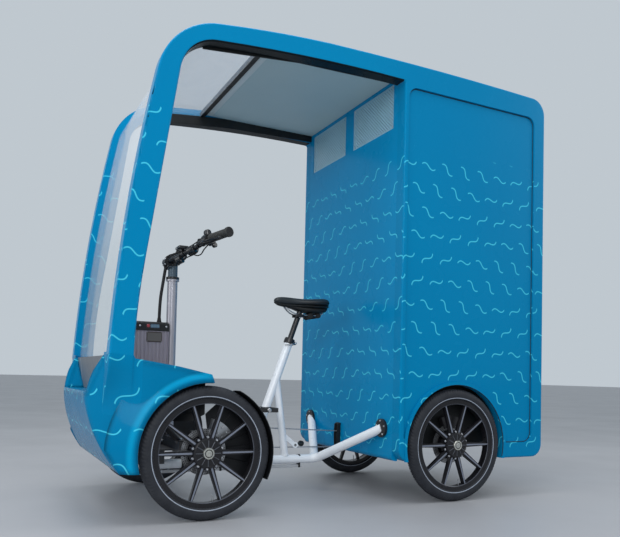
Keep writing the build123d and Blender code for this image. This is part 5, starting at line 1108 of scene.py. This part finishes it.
# Grips and controls: ribbed rubber grips with flanged ends, lever clamps with barrel adjusters,
# a bell, twist and thumb shifters and a small display on the bar, and black cable housings.
dress(["grips_and_controls"], black_rubber)
grip_start, grip_end = Vector((0.568, 0.2319, 1.134)), Vector((0.528, 0.340, 1.146))
grip_way = (grip_end - grip_start).normalized()
grips = Shape()
profile = [(0.000, 0.0185), (0.004, 0.0190), (0.007, 0.0180)]
for k in range(11):
    along = 0.010 + k * 0.0088
    profile += [(along, 0.0174), (along + 0.0022, 0.0184), (along + 0.0056, 0.0184), (along + 0.0072, 0.0174)]
profile += [(0.1085, 0.0180), (0.1110, 0.0212), (0.1180, 0.0218), (0.1235, 0.0206), (0.1248, 0.0150),
            (0.1240, 0.0060)]
grips.turned(profile, grip_start, grip_way, 36)
grip_rubber = Finish("grip_rubber", (0.036, 0.038, 0.037), 0.7, Specular_IOR_Level=0.35)
grip_rubber.worn((0.030, 0.032, 0.031), (0.046, 0.047, 0.047), 24.0, 0.5, 0.3, 600.0, 0.0004)
grips.both_sides().piece("grip_ribs", grip_rubber, "steering", "black_rubber")
gloss_black = Finish("gloss_black", (0.010, 0.011, 0.013), 0.18, Specular_IOR_Level=0.6)
gloss_black.worn((0.009, 0.010, 0.012), (0.015, 0.016, 0.018), 30.0, 0.12, 0.15)
controls = Shape()
house = grip_start - grip_way * 0.024
controls.turned([(-0.0105, 0.0222), (-0.0100, 0.0236), (0.0100, 0.0236), (0.0105, 0.0222)], house, grip_way, 32)
bell = house + grip_way * 0.008 + Vector((0.006, 0, 0.026))
controls.turned([(-0.009, 0.0165), (0.002, 0.0168), (0.008, 0.0150), (0.012, 0.0110), (0.0140, 0.0050)], bell,
                Vector((0.35, -0.1, 1.0)), 32)
controls.turned([(0, 0.0070), (0.014, 0.0070)], bell - Vector((0.004, 0, 0.014)), (0.2, 0, 1.0), 16)
tank = house + Vector((0.026, 0.010, -0.016))
controls.turned([(-0.020, 0.0090), (-0.018, 0.0112), (0.018, 0.0112), (0.020, 0.0090)], tank, grip_way, 24)
controls.swept([house + Vector((0.006, 0.004, -0.010)), tank], 0.0090, sides=16)
barrel = tank - grip_way * 0.020
controls.turned([(0, 0.0058), (0.006, 0.0058), (0.007, 0.0046), (0.016, 0.0046)], barrel, -grip_way, 16)
blade = eased([tank + grip_way * 0.014 + Vector((0.006, 0, -0.006)), grip_start + Vector((0.044, 0.012, -0.026)),
               grip_start + Vector((0.040, 0.055, -0.024)), grip_end + Vector((0.034, -0.012, -0.026))], 6)
controls.swept(blade, [0.0064 - 0.0016 * math.sin(math.pi * i / (len(blade) - 1)) for i in range(len(blade))],
               sides=12, flat=0.6)
controls.turned([(-0.006, 0.0074), (0.0, 0.0082), (0.006, 0.0074)], blade[-1], (1, 0, 0), 16)
lever_body = grip_start + grip_way * 0.026 + Vector((0.014, 0, -0.026))
controls.turned([(-0.016, 0.0090), (-0.013, 0.0130), (0.011, 0.0135), (0.016, 0.0100)], lever_body, grip_way, 24)
controls.swept([house + Vector((0.004, 0, -0.016)), lever_body - grip_way * 0.010], 0.0085, sides=14)
thumb = grip_start + grip_way * 0.050 + Vector((0.016, 0, -0.042))
controls.swept(eased([lever_body, lever_body + grip_way * 0.014 + Vector((0.002, 0, -0.010)), thumb], 4), 0.0068,
               sides=12)
controls.turned([(-0.009, 0.0080), (-0.006, 0.0108), (0.006, 0.0108), (0.009, 0.0080)], thumb, grip_way, 20)
BAR_BEND, BAR_RISE = Vector((0.685, 0.060, 1.057)), Vector((0.612, 0.150, 1.101))
BAR_END = Vector((0.568, 0.232, 1.134))
twist_way = BAR_RISE - BAR_BEND
twist = Vector((0.623, 0.137, 1.092))
controls.turned([(-0.019, 0.0140), (-0.017, 0.0190), (0.012, 0.0205), (0.017, 0.0180), (0.019, 0.0135)], twist,
                twist_way, 28)
under = Vector((0.662, 0.092, 1.054))
controls.turned([(-0.015, 0.0140), (-0.012, 0.0200), (0.012, 0.0200), (0.015, 0.0140)], under, twist_way, 28)
controls.swept([under, under + Vector((0.0, -0.004, 0.024))], 0.0095, sides=14)
controls.both_sides().piece("lever_clamps", gloss_black, "steering", "black_trim")
housings = Shape()
cable_lines = [
    [barrel - grip_way * 0.014, (0.604, 0.158, 1.082), (0.640, 0.112, 1.060), (0.672, 0.062, 1.040),
     (0.692, 0.024, 1.030), (0.701, 0.004, 1.020)],
    [house - grip_way * 0.010 + Vector((0.006, 0, 0.018)), (0.608, 0.150, 1.124), (0.645, 0.100, 1.098),
     (0.672, 0.050, 1.084), (0.684, 0.018, 1.084), (0.700, 0.008, 1.070), (0.706, 0.004, 1.044),
     (0.702, 0.002, 1.020)],
    [(0.600, 0.176, 1.112), (0.636, 0.122, 1.090), (0.664, 0.076, 1.074), (0.682, 0.034, 1.078),
     (0.694, 0.014, 1.070), (0.700, 0.012, 1.048), (0.700, 0.006, 1.022)],
    [(0.618, 0.143, 1.074), (0.606, 0.166, 1.066), (0.596, 0.190, 1.070), (0.590, 0.212, 1.088),
     lever_body - grip_way * 0.012]]
for line in cable_lines:
    housings.swept(eased(line, 6), 0.0027, sides=8)
for start, end in ((BAR_BEND, BAR_RISE), (BAR_RISE, BAR_END)):
    strap = (start + end) / 2
    housings.turned([(-0.004, 0.0128), (-0.004, 0.0146), (0.004, 0.0146), (0.004, 0.0128)], strap, end - start, 24,
                    joined=True)
    housings.swept([strap + Vector((0.010, 0, 0.004)), strap + Vector((0.020, 0, 0.002))], 0.0055, sides=10)
housings.both_sides().piece("brake_housings", black_rubber, "steering", "black_rubber")
display = Shape()
pod = Vector((0.654, 0.096, 1.104))
display.block(pod - Vector((0.022, 0.032, 0.007)), pod + Vector((0.022, 0.032, 0.007)), 0.004)
display.turned([(-0.006, 0.0126), (-0.006, 0.0150), (0.006, 0.0150), (0.006, 0.0126)], (0.6520, 0.1006, 1.0769),
               BAR_RISE - BAR_BEND, 24, joined=True)
display.swept([pod + Vector((0, 0.002, -0.004)), (0.6520, 0.1006, 1.0850)], 0.0085, sides=12)
display.piece("display_pod", gloss_black, "steering", "black_trim")
glass = Finish("display_glass", (0.030, 0.045, 0.060), 0.08, Coat_Weight=0.6)
glass_x, glass_y = glass.place()[:2]
cells = (glass_y * 260.0).maths("FRACT").between(0.15, 0.85) * (glass_x * 180.0).maths("FRACT").between(0.2, 0.8)
glass.feed("Base Color", glass.blend(cells * 0.35, (0.030, 0.045, 0.060), (0.12, 0.17, 0.20)))
glass.feed("Roughness", glass.noise(40.0) * 0.08 + 0.05)
screen_face = Shape()
screen_face.block(pod + Vector((-0.016, -0.026, 0.0062)), pod + Vector((0.016, 0.026, 0.0078)), 0.0006)
screen_face.piece("display_window", glass, "steering", "black_trim")


# Battery: ribbed aluminium case on the tray, with a black cap that shows a small charge window,
# a push button and two rivets. Below it sits a blank rating plate, held by four pins.
case_silver = Finish("case_aluminium", (0.30, 0.28, 0.32), 0.4, Metallic=0.55)
case_x, case_y, case_z = case_silver.place()
grain = case_silver.node("ShaderNodeTexNoise", None, {
    "Vector": case_silver.node("ShaderNodeCombineXYZ", None, [case_x * 900.0, case_y * 900.0, case_z * 12.0]),
    "Scale": 1.0, "Detail": 3.0})
case_silver.feed("Base Color", case_silver.blend(grain.above(0.5, 0.25), (0.26, 0.235, 0.285), (0.36, 0.33, 0.38)))
case_silver.feed("Roughness", grain * 0.2 + 0.28)
case_silver.relief(grain, 0.0003, 0.3)
dress(["battery_case"], case_silver)
ribs = Shape()
for k in range(10):
    rib_x = min(max(0.690 + 0.148 / 9 * k, 0.6925), 0.8355)
    for side in (-1, 1):
        ribs.swept([(rib_x, side * 0.0549, 0.302), (rib_x, side * 0.0549, 0.738)], 0.0016, sides=8)
ribs.piece("battery_ribs", case_silver, "chassis", "silver")
CAP_FACE = 0.0590
trimmings = Shape()
line = rounded_box((0.7315, 0.7495), (0.7905, 0.7705), 0.004, 4)
trimmings.rings([at_y(line, CAP_FACE - 0.0006), at_y(line, CAP_FACE + 0.0010)])
trimmings.piece("charge_window_frame", gloss_black, "chassis", "black_trim")
window = Shape()
line = rounded_box((0.7340, 0.7520), (0.7715, 0.7680), 0.0025, 4)
window.rings([at_y(line, CAP_FACE + 0.0004), at_y(line, CAP_FACE + 0.0016)])
charge = Finish("charge_window", (0.060, 0.135, 0.200), 0.12, Coat_Weight=0.5)
charge_x, charge_z = charge.place()[::2]
bars = (charge_x * 150.0).maths("FRACT").between(0.2, 0.8) * charge_z.between(0.7555, 0.7645)
charge.feed("Base Color", charge.blend(bars, (0.050, 0.110, 0.170), (0.13, 0.24, 0.32)))
charge.feed("Roughness", charge.noise(50.0) * 0.08 + 0.08)
window.piece("charge_window", charge, "chassis", "black_trim")
button = Shape()
button.turned([(0, 0.0072), (0.0012, 0.0072), (0.0020, 0.0058), (0.0020, 0.0020)],
              (0.7815, CAP_FACE + 0.0004, 0.7600), (0, 1, 0), 28)
button_red = Finish("button_red", (0.36, 0.030, 0.045), 0.35)
button_red.worn((0.32, 0.025, 0.040), (0.42, 0.050, 0.065), 300.0, 0.25, 0.15)
button.piece("push_button", button_red, "chassis", "lamp_red")
rivets = Shape()
for rivet_x in (0.7030, 0.8170):
    for side in (1, -1):
        rivets.turned([(0, 0.0042), (0.0008, 0.0040), (0.0018, 0.0026), (0.0020, 0.0010)],
                      (rivet_x, side * CAP_FACE, 0.7590), (0, side, 0), 16)
for pin_x in (0.7225, 0.7845):
    for pin_z in (0.6935, 0.7325):
        rivets.turned([(0, 0.0012), (0.0006, 0.0010)], (pin_x, 0.0572, pin_z), (0, 1, 0), 10)
rivets.piece("battery_rivets", steel, "chassis", "steel")
plate_brown = Finish("blank_plate", (0.050, 0.036, 0.034), 0.45)
plate_x, plate_z = plate_brown.place()[::2]
border = plate_x.between(0.7230, 0.7840, 0.0003) * plate_z.between(0.6950, 0.7310, 0.0003)
plate_brown.feed("Base Color", plate_brown.blend(border, (0.035, 0.022, 0.020), (0.105, 0.098, 0.095)))
plate_brown.feed("Roughness", plate_brown.noise(80.0) * 0.15 + 0.35)
plate = Shape()
line = rounded_box((0.7200, 0.6910), (0.7870, 0.7350), 0.003, 4)
plate.rings([at_y(line, 0.0540), at_y(line, 0.0573)])
plate.piece("blank_rating_plate", plate_brown, "chassis", "black_trim")
cap_handle = Shape()
cap_handle.swept(eased([(0.742, 0, 0.7765), (0.744, 0, 0.7785), (0.752, 0, 0.7788)], 3), 0.0010, sides=6)
cap_handle.turned([(-0.0006, 0.0150), (0.0006, 0.0150), (0.0010, 0.0120)], (0.7210, 0, 0.7785), (0, 0, 1), 32)
cap_handle.piece("cap_fittings", black_rubber, "chassis", "black_rubber")


# Loom: the bike's wires in one braided black sleeve, from the bar down to the battery cap.
# It is 14 mm thick and stiff, and goes into the cap through a rubber bush.
loom_finish = Finish("braided_sleeve", (0.011, 0.011, 0.012), 0.6, Specular_IOR_Level=0.3)
BRAID = 900.0
across_braid, along_braid = [flow * BRAID for flow in loom_finish.place()[1:]]
weave = (along_braid + across_braid).maths("SINE") * (along_braid - across_braid).maths("SINE")
loom_finish.feed("Base Color", loom_finish.blend(weave.above(0.0, 0.4), (0.008, 0.008, 0.009), (0.020, 0.020, 0.022)))
loom_finish.feed("Roughness", loom_finish.noise(90.0) * 0.2 + 0.5)
loom_finish.relief(weave, 0.0005, 0.5)
LOOM_ROUTE = ((0.700, 0.0, 1.022), (0.709, 0.0, 0.958), (0.721, 0.0, 0.870), (0.721, 0.0, 0.7793))
loom_data = bpy.data.curves.new("loom", "CURVE")
loom_data.dimensions = "3D"
loom_data.bevel_depth = 0.007
loom_data.bevel_resolution = 4
loom_data.resolution_u = 16
loom_data.use_fill_caps = True
loom_line = loom_data.splines.new("NURBS")
loom_line.points.add(len(LOOM_ROUTE) - 1)
for control, point in zip(loom_line.points, LOOM_ROUTE):
    control.co = (*point, 1.0)
loom_line.order_u = 3
loom_line.use_endpoint_u = True
loom_data.materials.append(loom_finish.material)
loom = bpy.data.objects.new("loom_sleeve", loom_data)
bpy.context.scene.collection.objects.link(loom)
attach(loom, "chassis")
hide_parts("cable_loom")
bush = Shape()
bush.turned([(0, 0.0120), (0.003, 0.0120), (0.005, 0.0104), (0.014, 0.0086), (0.022, 0.0078), (0.022, 0.0070)],
            (0.721, 0, 0.7780), (0, 0, 1), 28)
bush.piece("loom_bush", black_rubber, "chassis", "black_rubber")


# Crank: black arms with polished dust caps and a toothed ring bolted on at the right.
# The pedals are black cages with grip pins and an amber reflector on each long side.
dress(["crankset"], black_coat)
CHAIN_Y = -0.045
CRANK = Vector((CRANK_X, CHAIN_Y, CRANK_Z))


def toothed(centre, teeth, root, tip, inner, thick):
    """Flat ring with teeth round its outside."""
    outline, hole = [], []
    for k in range(teeth):
        for share, radius in ((0.00, root), (0.22, root), (0.40, tip), (0.52, tip), (0.72, root)):
            degrees = 360 * (k + share) / teeth
            outline.append(on_circle((centre.x, centre.z), radius, degrees))
            hole.append(on_circle((centre.x, centre.z), inner, degrees))
    wheel = Shape()
    low, high = centre.y - thick / 2, centre.y + thick / 2
    return wheel.rings([at_y(outline, low), at_y(outline, high), at_y(hole, high), at_y(hole, low)], joined=True)


ring = toothed(CRANK, 25, 0.0468, 0.0520, 0.0400, 0.0018)
for k in range(5):
    bolt_x, bolt_z = on_circle((CRANK_X, CRANK_Z), 0.034, 72 * k + 18)
    ring.turned([(-0.0032, 0.0052), (0.0032, 0.0052)], (bolt_x, CHAIN_Y, bolt_z), (0, 1, 0), 16)
ring.piece("chainring_teeth", steel, "crank", "steel")
caps = Shape()
for side in (-1, 1):
    caps.turned([(0, 0.0115), (0.002, 0.0115), (0.0035, 0.0095), (0.0035, 0.004), (0.002, 0.0035)],
                (CRANK_X, side * 0.0715, CRANK_Z), (0, side, 0), 28)
caps.piece("crank_dust_caps", steel, "crank", "steel")
pedal_black = Finish("pedal_plastic", (0.014, 0.014, 0.015), 0.5)
pedal_black.worn((0.012, 0.012, 0.013), (0.022, 0.022, 0.024), 30.0, 0.4, 0.25, 500.0, 0.0004)
dress(["left_pedal", "right_pedal"], pedal_black)
amber_glass = Finish("amber_reflector", (0.62, 0.20, 0.012), 0.15, Coat_Weight=0.4)
amber_y, amber_z = amber_glass.place()[1:]
facets = (amber_y * 1500.0).maths("SINE") * (amber_z * 1500.0).maths("SINE")
amber_glass.feed("Base Color", amber_glass.blend(facets.above(0.0, 0.3), (0.60, 0.19, 0.010), (0.70, 0.26, 0.020)))
amber_glass.relief(facets, 0.0004, 0.5)
for side, word in SIDES:
    pedal = Vector((CRANK_X - side * 0.080, side * 0.1192, CRANK_Z + side * 0.13856))
    pins = Shape()
    for dx in (-0.040, 0.0, 0.040):
        for dy in (-0.036, 0.0, 0.036):
            for up_way in (-1, 1):
                if dx == 0.0 and dy == 0.0:
                    continue
                pins.turned([(0, 0.0018), (0.0022, 0.0018), (0.0026, 0.0010)],
                            pedal + Vector((dx, dy, up_way * 0.0098)), (0, 0, up_way), 8)
    pins.turned([(0, 0.0095), (0.004, 0.0095), (0.006, 0.0070)], pedal + Vector((0, side * 0.0462, 0)),
                (0, side, 0), 20)
    pins.piece(word + "_pedal_pins", steel, word + "_foot_pedal", "steel")
    lights = Shape()
    for dx in (-0.0442, 0.0442):
        lights.block(pedal + Vector((dx - 0.0012, -0.026, -0.0062)), pedal + Vector((dx + 0.0012, 0.026, 0.0062)),
                     0.0006)
    lights.piece(word + "_pedal_reflectors", amber_glass, word + "_foot_pedal", "lamp_red")


# Chain: half-inch roller chain from the crank to the small wheel under the box.
# Pairs of waisted plates, inner and outer in turn, ride on rollers at every pin.
SPROCKET = Vector((-0.300, CHAIN_Y, 0.240))
BIG_R, SMALL_R = 0.050, 0.038
LINK_LENGTH = 0.0127
reach = SPROCKET - CRANK
span = reach.length
back = reach.normalized()
upright = Vector((back.z, 0, -back.x))
slant = math.asin((BIG_R - SMALL_R) / span)
run_length = span * math.cos(slant)
big_wrap = BIG_R * (math.pi + 2 * slant)
small_wrap = SMALL_R * (math.pi - 2 * slant)
chain_length = run_length * 2 + big_wrap + small_wrap
link_count = round(chain_length / LINK_LENGTH / 2) * 2


def round_wheel(centre, radius, a):
    return centre + (back * math.cos(a) + upright * math.sin(a)) * radius


def chain_point(length):
    """Place along the chain's loop, from the top of the crank ring backwards."""
    length %= chain_length
    if length < run_length:
        return top_start + (top_end - top_start) * (length / run_length)
    length -= run_length
    if length < small_wrap:
        return round_wheel(SPROCKET, SMALL_R, math.pi / 2 - slant - length / SMALL_R)
    length -= small_wrap
    if length < run_length:
        return low_start + (low_end - low_start) * (length / run_length)
    return round_wheel(CRANK, BIG_R, -math.pi / 2 - slant - (length - run_length) / BIG_R)


leaving = math.pi / 2 - slant
top_start, top_end = round_wheel(CRANK, BIG_R, leaving), round_wheel(SPROCKET, SMALL_R, leaving)
low_start, low_end = round_wheel(SPROCKET, SMALL_R, -leaving), round_wheel(CRANK, BIG_R, -leaving)


chain = Shape()
for k in range(link_count):
    here, there = chain_point(chain_length * k / link_count), chain_point(chain_length * (k + 1) / link_count)
    way = (there - here).normalized()
    rise_way = Vector((-way.z, 0, way.x))
    pitch = (there - here).length
    outline = []
    for centre_x, angles in ((pitch, (-70, -25, 25, 70)), (0.0, (110, 155, 205, 250))):
        for a in angles:
            t = math.radians(a)
            outline.append((centre_x + 0.0040 * math.cos(t), 0.0034 * math.sin(t)))
        outline.append((pitch / 2, 0.0024 if centre_x > 0 else -0.0024))
    for plate_y in ((0.0019, -0.0025) if k % 2 else (0.0012, -0.0018)):
        chain.slab(outline, here + Vector((0, plate_y, 0)), way, rise_way, -0.0006)
    chain.turned([(-0.0012, 0.0030), (0.0012, 0.0030)], here, (0, 1, 0), 10)
    chain.turned([(-0.0025, 0.0014), (0.0025, 0.0014)], here, (0, 1, 0), 8)
chain_steel = Finish("chain_steel", (0.46, 0.47, 0.50), 0.35, Metallic=0.9)
chain_steel.worn((0.40, 0.41, 0.44), (0.54, 0.55, 0.58), 120.0, 0.25, 0.3)
chain.piece("chain_links", chain_steel, "chassis", "steel", ["chain"])
dress(["rear_sprocket"], steel)
cog = toothed(SPROCKET, 19, 0.0336, 0.0346, 0.0280, 0.0011)
cog.piece("rear_cog_teeth", steel, "sprocket", "steel")


# Chain guide and tensioner: two slim black blades on the box wall keep the chain in its slot,
# and a small roller on a spring arm from the frame's tab presses on the lower run.
guide = Shape()
guide_line = round_corners([(-0.2275, 0.200), (-0.2110, 0.208), (-0.2085, 0.262), (-0.2110, 0.318),
                            (-0.2275, 0.328)], 0.004, 3)
for guide_y in (-0.0630, -0.0320):
    guide.slab(guide_line, (0, guide_y + 0.0018, 0), (1, 0, 0), (0, 0, 1), 0.0036)
guide.block((-0.2278, -0.0660, 0.3130), (-0.2190, -0.0270, 0.3250), 0.0015)
guide.piece("chain_guide", black_moulding, "chassis", "black_trim")
LOW_RUN_Z = 0.2068
roller_at = Vector((-0.014, CHAIN_Y, LOW_RUN_Z + 0.0175))
tensioner = Shape()
tensioner.turned([(-0.006, 0.0140), (-0.0030, 0.0140), (-0.0026, 0.0128), (0.0026, 0.0128), (0.0030, 0.0140),
                  (0.006, 0.0140)], roller_at, (0, 1, 0), 28)
tensioner.swept(eased([roller_at + Vector((0, 0.010, 0)), roller_at + Vector((0.010, 0.018, 0.004)),
                       (0.030, -0.010, 0.224), (0.038, -0.0035, 0.222)], 5), 0.0045, sides=10)
tensioner.piece("chain_tensioner", black_moulding, "chassis", "black_trim")
tensioner_bolt = Shape()
tensioner_bolt.bolt(roller_at + Vector((0, -0.0065, 0)), (0, -1, 0), 0.0048, 0.004)
tensioner_bolt.turned([(0, 0.0020), (0.017, 0.0020)], roller_at + Vector((0, -0.006, 0)), (0, 1, 0), 12)
tensioner_bolt.piece("tensioner_bolt", steel, "chassis", "steel")
